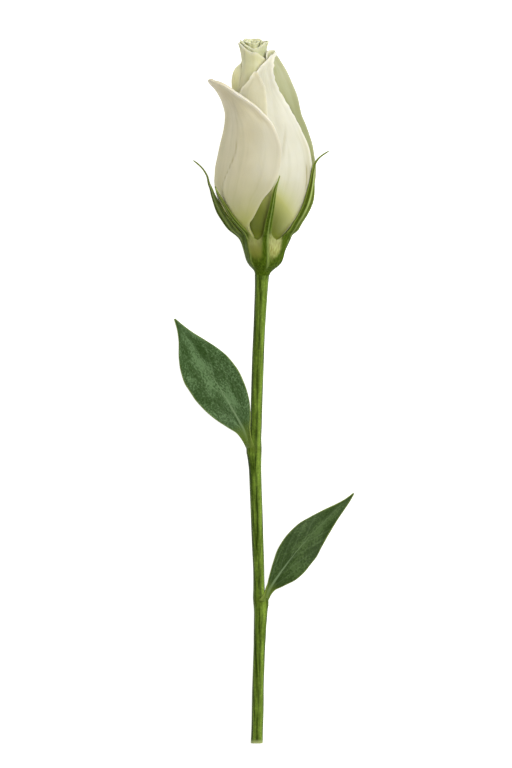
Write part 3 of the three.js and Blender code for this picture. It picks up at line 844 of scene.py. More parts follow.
def right_flare(height: float, angle: float) -> float:
    """The right petal bulges a little beyond the outline, above and below its middle."""
    bulge = 0.35 * within((20, 28), (36, 42), height) + 0.25 * within((36, 41), (46, 52), height)
    return bulge * smooth(74, 84, angle)


def front_right_layer(height: float, angle: float) -> float:
    """Sinks the front right petal below the outline, deeper to its left.

    Args:
        height: millimetres up the flower.
        angle: degrees round the bloom's axis.

    Returns:
        How many layers it lies below.
    """
    shallow, deep = DIVE_ANGLES
    dive = blend(DIVE_FOOT_LAYERS, DIVE_LAYERS, smooth(17, 24, height))
    dive *= min(max((shallow - angle) / (shallow - deep), 0), 1)
    return dive * smooth(*DIVE_START, height) * (1 - DIVE_EASE_SHARE * smooth(*DIVE_EASE, height))


def roll_reach(height: float, angle: float, clearance: float) -> float:
    """Distance of the roll's outer face from the bloom's axis, looking outwards at an angle.

    Args:
        height: millimetres up the flower.
        angle: degrees round the bloom's axis.
        clearance: millimetres to stay outside the roll.

    Returns:
        The distance, in millimetres.
    """
    drift = ROLL_AXIS(height) - BLOOM_AXIS(height)
    turn = math.radians(angle)
    radius = ROLL_RADIUS(height) + clearance
    return drift * math.sin(turn) + math.sqrt(max(radius ** 2 - (drift * math.cos(turn)) ** 2, 0))


# The left petal's front margin, and where it and the top hug the roll
LEFT_PETAL_FRONT_STATIONS = (
    (2, 245), (6.5, 248), (9.6, 275), (30, 292), (42, 296), (46, 287), (50, 281), (53, 278), (54.8, 272),
    (55.8, 262), (56.6, 252), (57.2, 240),
)
LEFT_PETAL_FRONT = Curve(LEFT_PETAL_FRONT_STATIONS)
HUG_HEIGHTS = (43, 48)
HUG_TOP = (54.9, 57.6)
HUG_SPAN = 16
HUG_GAP = 0.12


def left_layers(height: float, angle: float) -> float:
    """Layers that the left petal lies below the outline, none near the top of its front margin."""
    return 1 - smooth(47.5, 51.5, height) * smooth(240, 262, angle)


def hug_roll(height: float, angle: float) -> float:
    """Lays the left petal's front margin and its top against the roll.

    Args:
        height: millimetres up the flower.
        angle: degrees round the bloom's axis.

    Returns:
        How far it stands beyond its layer, in millimetres, below 0 where it is drawn in.
    """
    margin = LEFT_PETAL_FRONT(height)
    beside = smooth(margin - HUG_SPAN, margin, angle) * smooth(*HUG_HEIGHTS, height)
    share = max(beside, smooth(*HUG_TOP, height))
    free = BLOOM_RADIUS(height) - left_layers(height, angle) * LAYER_PITCH
    return share * min(roll_reach(height, angle, HUG_GAP) - free, 0)


# Heights over which a claw turns into a blade, and over which the frill of its margins sets in
CLAW_TOP = (14, 24)
FRILL_START = (34, 44)
# Waves along a margin, as (radians a millimetre, phase)
FRILL_WAVES = ((2.3, 0.8), (4.1, 2.2))
# Waves of a blade, as (size, count round the bloom, radians a millimetre, phase)
BLADE_WAVES = ((1.0, 5, 0.09, 0.0), (0.6, 9, -0.16, 1.7))


@dataclass(kw_only=True)
class WoundPetal:
    """What every petal is: a thin sheet between two margins that wind round the bloom.

    Each kind adds its height, surface, greenness and rim, by the shares across and up it.
    """

    name: str
    node: str
    left: Stations
    right: Stations
    layer: Rule
    skin: PetalSkin
    dusk: Rule = nowhere
    columns: int
    rows: int
    thickness: float
    rim_thickness: float
    rim_share: float

    def __post_init__(self) -> None:
        """Turns the margins' stations into curves."""
        self.left_margin = Curve(self.left)
        self.right_margin = Curve(self.right)

    def angle(self, u: float, height: float) -> float:
        """Angle round the bloom at share u across the petal."""
        return blend(self.left_margin(height), self.right_margin(height), u)

    def spread(self, rule: Rule) -> Rule:
        """Lays a rule of height and angle over the sheet.

        Args:
            rule: a number by height and angle.

        Returns:
            The same number by the shares across and up the sheet.
        """
        def at_share(u: float, v: float) -> float:
            """The number at a place of the sheet."""
            height = self.height(u, v)
            return rule(height, self.angle(u, height))

        return at_share

    def marks(self) -> dict[str, Rule]:
        """The numbers that the mesh carries for its skin."""
        return {"green": self.greenness, "rim": self.rim, "dusk": self.spread(self.dusk)}

    def build(self) -> None:
        """Makes the petal and dresses it."""
        sheet = SheetMaker(self.name, self.surface, self.columns, self.rows, self.thickness,
                           self.rim_thickness, self.marks()).build()
        dress(sheet, self.skin.build(), [self.node])


@dataclass(kw_only=True)
class Petal(WoundPetal):
    """One outer petal: it follows the outline of the bloom, some layers below it."""

    tip: float
    green: Stations
    green_slant: float = 0.0
    flare: Rule = nowhere
    curl: float = 0.35
    curl_width: float = 1.6
    curl_heights: tuple[float, float] = CLAW_TOP
    left_curl: float = 0.0
    rim_share: float = 1.0
    rim_fade: tuple[float, float] = (70, 80)
    waves: float = 0.12
    frill: float = 0.07
    shadow: Rule = nowhere
    shadow_line: Rule = nowhere
    rests: bool = False
    columns: int = 44
    rows: int = 64
    thickness: float = 0.42
    rim_thickness: float = 0.26
    tip_crowding: float = 1.5

    def height(self, _u: float, v: float) -> float:
        """Height of the row at share v, rows closing up towards the tip."""
        return blend(PETAL_FOOT, self.tip, 1 - (1 - v) ** self.tip_crowding)

    def edge_distance(self, margin: Curve, angle: float, height: float) -> float:
        """Measures how far a place lies from a margin, square to it.

        Args:
            margin: the margin's angle by height.
            angle: degrees round the bloom's axis.
            height: millimetres up the flower.

        Returns:
            The distance, in millimetres.
        """
        radius = BLOOM_RADIUS(height)
        step = 0.4
        low = max(height - step, PETAL_FOOT)
        high = min(height + step, self.tip)
        slant = math.radians(margin(high) - margin(low)) * radius / (high - low)
        across = math.radians(abs(margin(height) - angle)) * radius
        return across / math.hypot(1, slant)

    def relief(self, height: float, angle: float) -> float:
        """Curls the margins and waves the blade a little.

        Args:
            height: millimetres up the flower.
            angle: degrees round the bloom's axis.

        Returns:
            How far the surface stands proud of its smooth form, in millimetres.
        """
        right = self.edge_distance(self.right_margin, angle, height)
        left = self.edge_distance(self.left_margin, angle, height)
        rolled = blend(0.3, 1, smooth(*self.curl_heights, height))
        rise = self.curl * rolled * max(1 - right / self.curl_width, 0) ** 2
        rise += self.left_curl * max(1 - left / self.curl_width, 0) ** 2
        near_rim = math.exp(-min(right, left) / 0.7) * smooth(*FRILL_START, height)
        rise += self.frill * near_rim * sum(math.sin(height * pace + phase) for pace, phase in FRILL_WAVES)
        wave = sum(
            size * math.sin(math.radians(angle) * count + height * pace + phase)
            for size, count, pace, phase in BLADE_WAVES
        )
        return (rise + self.waves * wave) * smooth(*CLAW_TOP, height)

    def radius(self, height: float, angle: float) -> float:
        """Places the petal's outer face.

        Args:
            height: millimetres up the flower.
            angle: degrees round the bloom's axis.

        Returns:
            The face's distance from the bloom's axis, in millimetres.
        """
        depth = self.layer(height, angle) * smooth(*OUTER_OVERLAP, height) * LAYER_PITCH
        smooth_form = BLOOM_RADIUS(height) - depth * lean(BLOOM_RADIUS, height)
        return smooth_form + self.flare(height, angle) + self.relief(height, angle)

    def surface(self, u: float, v: float) -> Vector:
        """Gives a point of the outer face.

        Args:
            u: share across the petal, from its left margin.
            v: share up the petal, from its foot.

        Returns:
            The point, in the flower's frame.
        """
        height = self.height(u, v)
        angle = self.angle(u, height)
        point = round_point(BLOOM_AXIS, angle, height, self.radius(height, angle))
        if self.rests:
            point.z = max(point.z, resting_surface(height))
        return point

    def greenness(self, u: float, v: float) -> float:
        """How far the yellow-green of the claw reaches up, higher on the left by the slant."""
        return Curve(self.green)(self.height(u, v) - self.green_slant * (1 - u))

    def rim(self, u: float, v: float) -> float:
        """Marks the free margins.

        Args:
            u: share across the petal.
            v: share up the petal.

        Returns:
            The rim share at a margin, fading to 0 within a millimetre.
        """
        height = self.height(u, v)
        angle = self.angle(u, height)
        right = self.edge_distance(self.right_margin, angle, height)
        left = self.edge_distance(self.left_margin, angle, height)
        rolled = blend(0.25, 1, smooth(*self.curl_heights, height))
        faded = 1 - 0.8 * smooth(*self.rim_fade, height)
        return self.rim_share * rolled * faded * (1 - smooth(0.1, 1.0, min(right, left)))

    def fold(self, height: float, angle: float) -> float:
        """How much painted shade shows as a dark line, such as the shadow where another petal's margin lies
        over it.
        """
        return self.shadow_line(height, angle)

    def marks(self) -> dict[str, Rule]:
        """Adds the painted shade of dark lines and the painted shade that greys the flesh."""
        return {**super().marks(), "fold": self.spread(self.fold), "shadow": self.spread(self.shadow)}


@dataclass(frozen=True)
class Pleat:
    """A sharp lengthwise pleat: where it runs, how deep it is and how dark the painted shade in its hollow
    looks.
    """

    path: Stations
    depth: Stations
    step: float = 0.3
    reach: float = 3.2
    shade: float = 0.85
    shade_depth: float = 0.35
    pit_width: float = 0.24
    pit_shift: float = 0.05

    def distance(self, height: float, angle: float) -> float:
        """Distance from its line along the surface, positive to the right."""
        return math.radians(angle - Curve(self.path)(height)) * BLOOM_RADIUS(height)

    def fall(self, height: float, angle: float) -> float:
        """Presses the surface in: a step on its line that eases out to the left.

        Args:
            height: millimetres up the flower.
            angle: degrees round the bloom's axis.

        Returns:
            How far it is pressed in, in millimetres.
        """
        across = self.distance(height, angle)
        width = self.step if across > 0 else self.reach
        return Curve(self.depth)(height) * bell(across, width)

    def darkness(self, height: float, angle: float) -> float:
        """How much painted shade darkens the skin in its hollow."""
        crease_shade = bell(self.distance(height, angle) + self.pit_shift, self.pit_width)
        return self.shade * crease_shade * min(Curve(self.depth)(height) / self.shade_depth, 1)


@dataclass(kw_only=True)
class PleatedPetal(Petal):
    """A petal with one or more sharp lengthwise pleats."""

    pleats: tuple[Pleat, ...]

    def relief(self, height: float, angle: float) -> float:
        """Adds the pleats to the curled margins and soft waves."""
        return super().relief(height, angle) - sum(pleat.fall(height, angle) for pleat in self.pleats)

    def fold(self, height: float, angle: float) -> float:
        """Paints shade into the hollows of the pleats."""
        return max(pleat.darkness(height, angle) for pleat in self.pleats)


@dataclass(kw_only=True)
class RollPetal(WoundPetal):
    """One petal of the rolled heart: a narrow claw that widens into a wound sheet."""

    lip: Stations
    columns: int = 48
    rows: int = 52
    claw_rows: float = 0.85
    lip_rows: float = 0.15
    crowding: float = 1.7
    mouth: float = 53.0
    ruffle: float = 0.22
    ruffle_count: float = 8.0
    ruffle_reach: float = 2.2
    flare: float = 0.45
    flare_reach: float = 1.2
    rim_share: float = 0.5
    winding: float = 0.0
    thickness: float = 0.36
    rim_thickness: float = 0.45

    def crown(self, u: float) -> float:
        """Gives the height of the lip.

        Args:
            u: share across the petal.

        Returns:
            The height up the flower, in millimetres.
        """
        angle = self.angle(u, self.mouth)
        ripple = 0.5 * self.ruffle * math.sin(math.radians(angle) * self.ruffle_count)
        return Curve(self.lip)(angle) + ripple - self.ruffle / 2

    def height(self, u: float, v: float) -> float:
        """Gives the height at a place of the grid, rows closing up towards the lip.

        Args:
            u: share across the petal.
            v: share up the petal.

        Returns:
            The height up the flower, in millimetres.
        """
        rise = 1 - (1 - v) ** self.crowding
        low = blend(PETAL_FOOT, self.mouth, min(rise / self.claw_rows, 1))
        return low + (self.crown(u) - self.mouth) * max((rise - self.claw_rows) / self.lip_rows, 0)

    def surface(self, u: float, v: float) -> Vector:
        """Gives a point of the outer face.

        Args:
            u: share across the petal, from its left margin.
            v: share up the petal, from its foot.

        Returns:
            The point, in the flower's frame.
        """
        height = self.height(u, v)
        angle = self.angle(u, height)
        depth = self.layer(height, angle) * smooth(*ROLL_OVERLAP, height) * LAYER_PITCH
        below = self.crown(u) - height
        spread = self.flare * (math.exp(-below / self.flare_reach) - 0.5)
        ruffled = self.ruffle * math.exp(-below / self.ruffle_reach)
        ripple = ruffled * math.sin(math.radians(angle) * self.ruffle_count + 1)
        wound = self.winding * u * smooth(*ROLL_OVERLAP, height)
        radius = ROLL_RADIUS(height) - depth * lean(ROLL_RADIUS, height) + spread + ripple - wound
        return round_point(ROLL_AXIS, angle, height, radius)

    def greenness(self, u: float, v: float) -> float:
        """How far the yellow-green of the claw reaches up."""
        return blend(1, 0.12, smooth(20, 50, self.height(u, v)))

    def rim(self, u: float, v: float) -> float:
        """Marks the lip and the side margins.

        Args:
            u: share across the petal.
            v: share up the petal.

        Returns:
            The rim share at a margin, fading to 0 within a millimetre.
        """
        height = self.height(u, v)
        span = math.radians(self.right_margin(height) - self.left_margin(height)) * ROLL_RADIUS(height)
        side = min(u, 1 - u) * span
        return self.rim_share * (1 - smooth(0.1, 0.9, min(side, self.crown(u) - height)))


# The roll's painted shading colour is lighter than its flesh: painted light on its shadowed side
ROLL_SKIN = PetalSkin("Cream petal skin of the roll", "D8D4B6", "CAC7A3", dusk="F0E8C4", width_mm=16,
                      height_mm=58)
MOUTH_SKIN = PetalSkin("Cream petal skin of the mouth", "CCCEB4", "BEC29E", rim="E4E1CC", width_mm=16,
                       height_mm=58)


@dataclass
class Bloom:
    """The whorl of six outer petals and the rolled heart inside it.

    The outer petals go from the front left one round to the right, the rolled ones inwards.
    """

    outer: tuple[Petal, ...] = (
        PleatedPetal(
            name="Front_left_petal", node="petal_front_left", tip=51.2, layer=lambda h, a: 0.0,
            left=((2, -105), (6.5, -105), (9.6, -118), (20, -122), (35, -122), (44, -112),
                  (48.3, -101), (51.2, -90)),
            right=((2, -55), (6.5, -30), (8.5, -28), (10, -31.5), (11.7, -29), (13.5, -17.5),
                   (15, -11), (18.9, 0.5), (21.6, 9.5), (27, 17),
                   (32.5, 20), (35.5, 17.2), (39, 11.3), (41, 4.2), (42.8, -4.4), (45, -19),
                   (46.9, -35.5), (48.5, -48.5), (50, -58.5), (51.2, -71)),
            skin=PetalSkin("Beige petal skin", "CFC8AC", "C2BA9C", width_mm=32, height_mm=49),
            green=((9, 0.8), (11, 0.62), (13.5, 0.42), (17.5, 0.2), (21.6, 0.08), (27, 0.02), (50, 0.0)),
            # Painted shade on its left side and, greyer, towards its right margin
            green_slant=3, dusk=left_painted_shade, shadow=left_shadow, rim_fade=(47, 51),
            flare=beak_flare, curl=0.85, curl_width=2.2, curl_heights=(29, 42), left_curl=0.0,
            rows=84, columns=88,
            rim_thickness=0.75, tip_crowding=1.35,
            # The pleat's hollow gets painted shade
            pleats=(Pleat(
                path=((15, -57), (19, -58), (21.5, -57), (24, -52.5), (27, -46), (30, -40.5),
                      (32, -39), (34, -38.5), (38, -40), (46, -50)),
                depth=((16, 0), (18, 0.22), (22, 0.33), (28, 0.3), (33, 0.2), (36, 0.1),
                       (44, 0.06), (48, 0)),
                shade=0.65, shade_depth=0.25, pit_width=0.24,
            ),),
        ),
        Petal(
            name="Inner_front_petal", node="petal_inner_front", tip=53.4, layer=lambda h, a: 1.0,
            left=((2, -45), (20, -46), (46, -47), (48.6, -44), (50, -34), (51.3, -26), (52.6, -19),
                  (53.4, -14)),
            right=((2, -30), (9.6, -36), (16, -24), (20.5, -8), (28, 6), (45.9, 8), (49, 6.5), (50.2, 4),
                   (51.4, 0), (52.6, -4), (53.4, -7)),
            skin=PetalSkin("Cream petal skin inside", "CEC9B2", "C4BEA3", width_mm=10, height_mm=52),
            green=((9, 0.9), (13, 0.8), (20, 0.4), (35, 0.1), (50, 0.04)), curl=0.25, left_curl=0.3,
            rim_share=0.6, columns=24, waves=0.06, frill=0.13,
        ),
        PleatedPetal(
            name="Front_right_petal", node="petal_front_right", tip=58.8, layer=front_right_layer,
            left=((2, 2), (6.5, -20), (9.6, -46), (16.2, -42), (20.5, -26), (40, -16), (50, -18),
                  (53.3, -10), (54, -5), (55.2, 6), (55.9, 15), (56.8, 27), (57.7, 40), (58.8, 62)),
            right=FRONT_RIGHT_MARGIN_STATIONS,
            skin=PetalSkin("Bright cream petal skin", "D4D2C3", "CAC7B4", lime="B2B46E", width_mm=18,
                           height_mm=57),
            green=((2, 1.0), (6.8, 0.95), (8.6, 0.86), (10.7, 0.7), (12.5, 0.52), (14.2, 0.36),
                   (16.1, 0.21), (19, 0.08), (24, 0.03), (60, 0.03)),
            flare=lambda h, a: 0.5 * smooth(56.6, 58.8, h) * smooth(40, 70, a), rows=84,
            left_curl=0.35, frill=0.17, columns=64, green_slant=14,
            # Painted shade towards its right margin, below the top
            dusk=lambda h, a: 0.4 * smooth(50, 66, a) * (1 - smooth(46, 52, h)),
            # The pleats' hollows get painted shade, the last one a dark line near the right margin
            pleats=(
                Pleat(path=((30, 24), (32.4, 26), (35, 29), (37, 33), (40, 37)),
                      depth=((29.5, 0), (32, 0.14), (35, 0.2), (38, 0.1), (40, 0)),
                      reach=1.6, shade=0.25, shade_depth=0.2),
                Pleat(path=((27, 18), (31, 20.5), (34, 21), (38, 19)),
                      depth=((27, 0), (30, 0.12), (33, 0.14), (37, 0)),
                      reach=1.0, shade=0.15, shade_depth=0.15),
                Pleat(path=((22, 59), (25, 58), (29, 57)),
                      depth=((21.5, 0.0), (23, 0.1), (27, 0.1), (29, 0)),
                      step=0.2, reach=0.2, shade=0.7, shade_depth=0.1),
            ),
        ),
        Petal(
            name="Right_petal", node="petal_right", tip=59.4,
            layer=lambda h, a: front_right_layer(h, a) + 1 - smooth(68, 88, a),
            left=((2, 70), (6.5, 68), (9.6, 52), (40, 45), (46, 32), (52, 22), (55.5, 26), (57, 31),
                  (58.3, 38), (59, 50), (59.4, 68)),
            right=((2, 128), (6.5, 130), (9.6, 145), (45, 145), (52, 146), (56, 149), (58.3, 152),
                   (59.4, 146)),
            skin=PetalSkin("Greenish petal skin", "B2B394", "A5A683", lime="8A9140", dusk="646C30",
                           crease_shade="525A26", width_mm=24, height_mm=58),
            green=((9, 1.0), (13, 0.8), (18, 0.56), (23, 0.38), (29, 0.25), (36, 0.17), (44, 0.12),
                   (60, 0.08)),
            # Painted shade half way up and beside the front right petal's margin, and a painted shadow line
            # along that margin
            flare=right_flare, dusk=right_painted_shade, shadow_line=right_margin_shadow, curl=0.0, left_curl=0.2,
        ),
        Petal(
            name="Back_petal", node="petal_back", tip=58.6, layer=lambda h, a: 1 - smooth(145, 165, a),
            left=((2, 138), (6.5, 138), (9.6, 125), (50, 122), (55, 136), (57, 150), (58.6, 170)),
            right=((2, 190), (6.5, 192), (9.6, 215), (50, 215), (55, 208), (57, 200), (58.6, 186)),
            skin=PetalSkin("Cream petal skin behind", "E2DEC4", "D6D2B2", width_mm=22, height_mm=56),
            green=((9, 0.95), (14, 0.6), (22, 0.2), (34, 0.05), (58, 0.03)),
            flare=lambda h, a: 0.4 * smooth(55.5, 58, h), rests=True,
        ),
        Petal(
            name="Left_petal", node="petal_left", tip=57.2,
            layer=lambda h, a: (1 + 0.35 * smooth(12, 18, h) * (1 - smooth(215, 235, a))) * left_layers(h, a),
            left=((2, 200), (6.5, 200), (9.6, 192), (50, 190), (54, 198), (56, 214), (57.2, 224)),
            right=LEFT_PETAL_FRONT_STATIONS,
            skin=PetalSkin("Cream petal skin left", "E6E1BF", "DAD5AB", width_mm=24, height_mm=54),
            green=((9, 0.95), (14, 0.6), (22, 0.25), (34, 0.12), (58, 0.1)),
            flare=hug_roll, curl=0.0, rim_share=0.15,
        ),
    )
    roll: tuple[RollPetal, ...] = (
        RollPetal(
            name="Roll_front_petal", node="roll_front", layer=lambda h, a: 0.0, skin=ROLL_SKIN,
            left=((2, -85), (14, -85), (20, -135), (60, -135)),
            right=((2, -5), (14, -5), (20, 55), (60, 57)),
            lip=((-135, 61.2), (-105, 61.7), (-92, 61.45), (-80, 61.2), (-56, 60.6), (-42, 59.9),
                 (-22, 59.1), (-3, 58.7), (16, 58.5), (33, 57.9), (52, 56.8), (57, 56.4)),
            rim_thickness=0.5, rim_share=0.6, flare=0.25,
            # Painted light on the roll's left side, lower down, where it lies in shadow
            dusk=lambda h, a: 0.75 * smooth(-15, -60, a) * (1 - smooth(49, 57, h)),
        ),
        RollPetal(
            name="Roll_middle_petal", node="roll_middle", skin=MOUTH_SKIN,
            layer=lambda h, a: 0.85 - 0.6 * smooth(45, 80, a),
            left=((2, 5), (14, 5), (20, -88), (60, -88)),
            right=((2, 85), (14, 80), (20, 86), (60, 86)),
            lip=((-88, 62.0), (-60, 61.2), (-35, 60.4), (0, 59.6), (20, 59.8), (45, 60.6), (60, 60.8),
                 (72, 61.5), (79, 61.6), (84, 61.3), (86, 60.9)),
            rim_thickness=0.55, rim_share=0.5, flare=0.65,
        ),
        RollPetal(
            name="Roll_back_petal", node="roll_back", layer=lambda h, a: smooth(198, 222, a), skin=MOUTH_SKIN,
            left=((2, 95), (14, 92), (20, 82), (60, 82)),
            right=((2, 175), (14, 175), (20, 256), (60, 256)),
            lip=((82, 61.2), (95, 61.8), (120, 61.9), (139, 61.8), (150, 62.3), (158, 62.75),
                 (174, 62.75), (186, 62.45), (194, 62.4), (204, 62.75), (217, 62.75), (232, 62.1),
                 (256, 61.3)),
            rim_thickness=0.5,
        ),
        RollPetal(
            name="Roll_heart_petal", node="roll_heart", layer=lambda h, a: 1.75, skin=MOUTH_SKIN,
            left=((2, 185), (14, 185), (20, 85), (60, 85)),
            right=((2, 265), (14, 265), (20, 365), (50, 365), (53, 560), (60, 560)),
            lip=((85, 61.8), (150, 62.0), (225, 62.1), (300, 61.5), (340, 61.3), (365, 61.2), (450, 61.8),
                 (560, 61.9)),
            columns=88, winding=0.9, ruffle=0.18, flare=0.5, rim_share=0.3,
        ),
    )

    def build(self) -> None:
        """Makes every petal, and finishes the pistil and stamens that they hide."""
        for petal in self.outer + self.roll:
            petal.build()
        for node, flesh in (
            ("pistil", InnerFlesh("Pistil flesh", "B5C27A", "8FA352")),
            ("stamens", InnerFlesh("Stamen flesh", "E4D48C", "CDB55A")),
        ):
            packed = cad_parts[node]
            packed.data.materials.clear()
            packed.data.materials.append(flesh.build())


def extrude_row(piece: bpy.types.Object, place: Callable[[int], Vector]) -> None:
    """Extrudes the selected row of points and puts each new one in its place.

    Args:
        piece: the object in edit mode, whose points carry their column's number.
        place: the place of a column's next point, in the flower's frame.
    """
    bpy.ops.mesh.extrude_region_move()
    shape = bmesh.from_edit_mesh(piece.data)
    column = shape.verts.layers.int["column"]
    for vertex in shape.verts:
        if vertex.select:
            vertex.co = LYING.place(place(vertex[column]))
    bmesh.update_edit_mesh(piece.data)


def start_ring(name: str, sides: int, place: Callable[[int], Vector], filled: bool) -> bpy.types.Object:
    """Adds the first ring of a tube and leaves it selected in edit mode.

    Args:
        name: the piece's name.
        sides: how many points the ring has.
        place: the place of each point, in the flower's frame.
        filled: whether the ring is closed by a face.

    Returns:
        The new object, in edit mode.
    """
    deselect_all()
    bpy.ops.mesh.primitive_circle_add(vertices=sides, radius=1, fill_type="NGON" if filled else "NOTHING")
    piece = bpy.context.object
    piece.name = name
    piece.data.name = name
    bpy.ops.object.mode_set(mode="EDIT")
    bpy.ops.mesh.select_mode(type="VERT")
    shape = bmesh.from_edit_mesh(piece.data)
    column = shape.verts.layers.int.new("column")
    shape.verts.ensure_lookup_table()
    for index, vertex in enumerate(shape.verts):
        vertex[column] = index
        vertex.co = LYING.place(place(index))
    bmesh.update_edit_mesh(piece.data)
    bpy.ops.mesh.select_all(action="SELECT")
    return piece


def facing_out(piece: bpy.types.Object) -> None:
    """Turns every face outwards and leaves edit mode.

    Args:
        piece: the object in edit mode.
    """
    bpy.ops.mesh.select_all(action="SELECT")
    bpy.ops.mesh.normals_make_consistent(inside=False)
    bpy.ops.object.mode_set(mode="OBJECT")
    only(piece)


def mark_points(piece: bpy.types.Object, name: str, rule: Callable[[Vector], float]) -> None:
    """Gives each point of a mesh a number that its material reads.

    Args:
        piece: the finished object.
        name: the attribute's name.
        rule: the number for a point, in the part's frame, held between 0 and 1.
    """
    layer = piece.data.attributes.new(name, "FLOAT", "POINT")
    for vertex in piece.data.vertices:
        layer.data[vertex.index].value = min(max(rule(vertex.co), 0), 1)


@dataclass(frozen=True)
class LeafBase:
    """The foot of a leaf that runs down one side of the stem and fades out."""

    side: float
    profile: Stations
    spread: float = 48.0

    def rise(self, angle: float, height: float) -> float:
        """How far it stands out of the stem at an angle and a height."""
        return Curve(self.profile)(height) * bell(turned(angle, self.side), self.spread)


@dataclass
class Stem:
    """The cut stem: nearly straight, with two swollen joints and a flare under the calyx."""

    sides: int = 36
    step: float = 1.0
    ridge: float = 0.05
    ridge_count: int = 5
    ridge_angle: float = 38
    leaf_bases: tuple[LeafBase, ...] = (
        LeafBase(-80, ((-53.8, 0), (-51, 0.3), (-49.1, 0.62), (-47.9, 0.6), (-46.6, 0.0))),
        LeafBase(82, ((-96, 0.1), (-93.7, 0.3), (-91.5, 0.55), (-90.2, 0.8), (-89, 0.75), (-87.4, 0.0))),
    )
    joints: tuple[float, float] = (-48.6, -89.2)
    joint_reach: float = 1.3
    joint_share: float = 0.5
    cut_insets: tuple[float, float] = (0.82, 0.93)
    cut_edge: float = 0.15
    cut_depth: float = 0.25
    cut_fade: float = 0.2
    top_inset: float = 0.5

    def ring(self, index: int, height: float, inset: float = 1.0) -> Vector:
        """Gives a point of the ring at a height, with low ridges running up the stem.

        Args:
            index: the point's number round the ring.
            height: millimetres up the flower.
            inset: share of the stem's radius.

        Returns:
            The point, in the flower's frame.
        """
        angle = 360 * index / self.sides
        ridge = self.ridge * math.cos(math.radians((angle - self.ridge_angle) * self.ridge_count))
        swelling = sum(base.rise(angle, height) for base in self.leaf_bases)
        reach = (STEM_RADIUS(height) + ridge + swelling) * inset
        return round_point(STEM_AXIS, angle, height, reach)

    def build(self) -> None:
        """Makes the stem ring by ring, from its cut end to the calyx, and dresses it."""
        inner, outer = self.cut_insets
        stem = start_ring("Stem", self.sides, lambda i: self.ring(i, STEM_FOOT, inner), True)
        extrude_row(stem, lambda i: self.ring(i, STEM_FOOT, outer))
        count = round((STEM_TOP - STEM_FOOT) / self.step)
        for row in range(count + 1):
            height = blend(STEM_FOOT + self.cut_edge, STEM_TOP, row / count)
            extrude_row(stem, lambda i, h=height: self.ring(i, h))
        extrude_row(stem, lambda i: self.ring(i, STEM_TOP, self.top_inset))
        facing_out(stem)
        bpy.ops.object.shade_smooth()
        cut_row = CAD_BOX[0][1] + self.cut_depth * MM
        mark_points(stem, "cut", lambda p: 1 - smooth(cut_row, cut_row + self.cut_fade * MM, p.y))
        mark_points(stem, "joint", self.jointness)
        mark_points(stem, "ridge", self.painted_stem_light)
        dress(stem, StemSkin().build(), ["stem"])

    def painted_stem_light(self, point: Vector) -> float:
        """Marks the painted light and shade of the stem.

        Args:
            point: a point of the mesh, in the part's frame.

        Returns:
            1 on the top of the lit ridge, less on the others and 0 in a groove; painted shade
            lowers it on the left side, near the top and under the calyx, and painted light raises
            the right side near the top.
        """
        foot = LYING.place(Vector((0, STEM_FOOT, 0)))
        height = STEM_FOOT + (point.y - foot.y) / MM / math.cos(LYING.tilt)
        axis = LYING.place(Vector((STEM_AXIS(height), height, 0)))
        angle = math.degrees(math.atan2(point.x - axis.x, point.z - axis.z))
        highlight_line = 0.5 + 0.5 * math.cos(math.radians((angle - self.ridge_angle) * self.ridge_count))
        shaded = smooth(10, -20, angle) * smooth(-110, -80, angle)
        darker_top = 0.7 * smooth(-9, -1, height) * smooth(34, 14, angle)
        lit_side = 0.35 * smooth(14, 34, angle) * smooth(96, 70, angle) * smooth(-16, -8, height)
        under_cup = 0.85 * smooth(-4.2, -1.6, height)
        return (highlight_line * (1 - 0.75 * shaded) * (1 - darker_top) + lit_side) * (1 - under_cup)

    def jointness(self, point: Vector) -> float:
        """Marks the joints of the stem.

        Args:
            point: a point of the mesh, in the part's frame.

        Returns:
            The joints' share at a joint, fading to 0 over their reach.
        """
        places = [LYING.place(Vector((0, height, 0))).y for height in self.joints]
        nearest = min(abs(point.y - place) for place in places) / MM
        return self.joint_share * (1 - smooth(0, self.joint_reach, nearest))


@dataclass
class CalyxLobe:
    """One keeled lobe of the calyx: where it runs, how wide it is and how far it stands off.

    The dark band of its keel runs on down the cup, band millimetres to each side. The right
    side may have a band and a width of its own, and stand higher or lower by far_lift. Highlight
    strength says how strong the painted highlight beside its keel is at a height, and the olive
    stations how brown the lobe is, partly its own olive and partly painted shade.
    """

    angle: Stations
    proud: Stations
    half_width: Stations
    tip: float
    band: Stations = ((1.4, 3.4), (3, 1.9), (5.4, 1.15), (9, 0.8), (11, 0.8))
    keel: Stations = ((-0.8, 0), (2.5, 0.55), (32, 0.5))
    keel_width: float = 0.55
    right_band: Stations | None = None
    right_width: Stations | None = None
    far_lift: float = 0.0
    highlight_line: float = 0.28
    highlight_width: Stations = ((0, 0.18), (30, 0.18))
    highlight_strength: Stations = ((0, 0.4), (30, 0.4))
    rim_width: float = 0.4
    olive_and_painted_shade: Stations = ((0, 0.0), (1, 0.0))

    def width(self, across: float, height: float) -> float:
        """Width of the lobe on one side of its keel, positive across for the right one."""
        stations = self.right_width if across > 0 and self.right_width else self.half_width
        return Curve(stations)(height)

    def band_width(self, across: float, height: float) -> float:
        """Width of the dark band on one side of the keel, positive across for the right one."""
        stations = self.right_band if across > 0 and self.right_band else self.band
        return Curve(stations)(height)


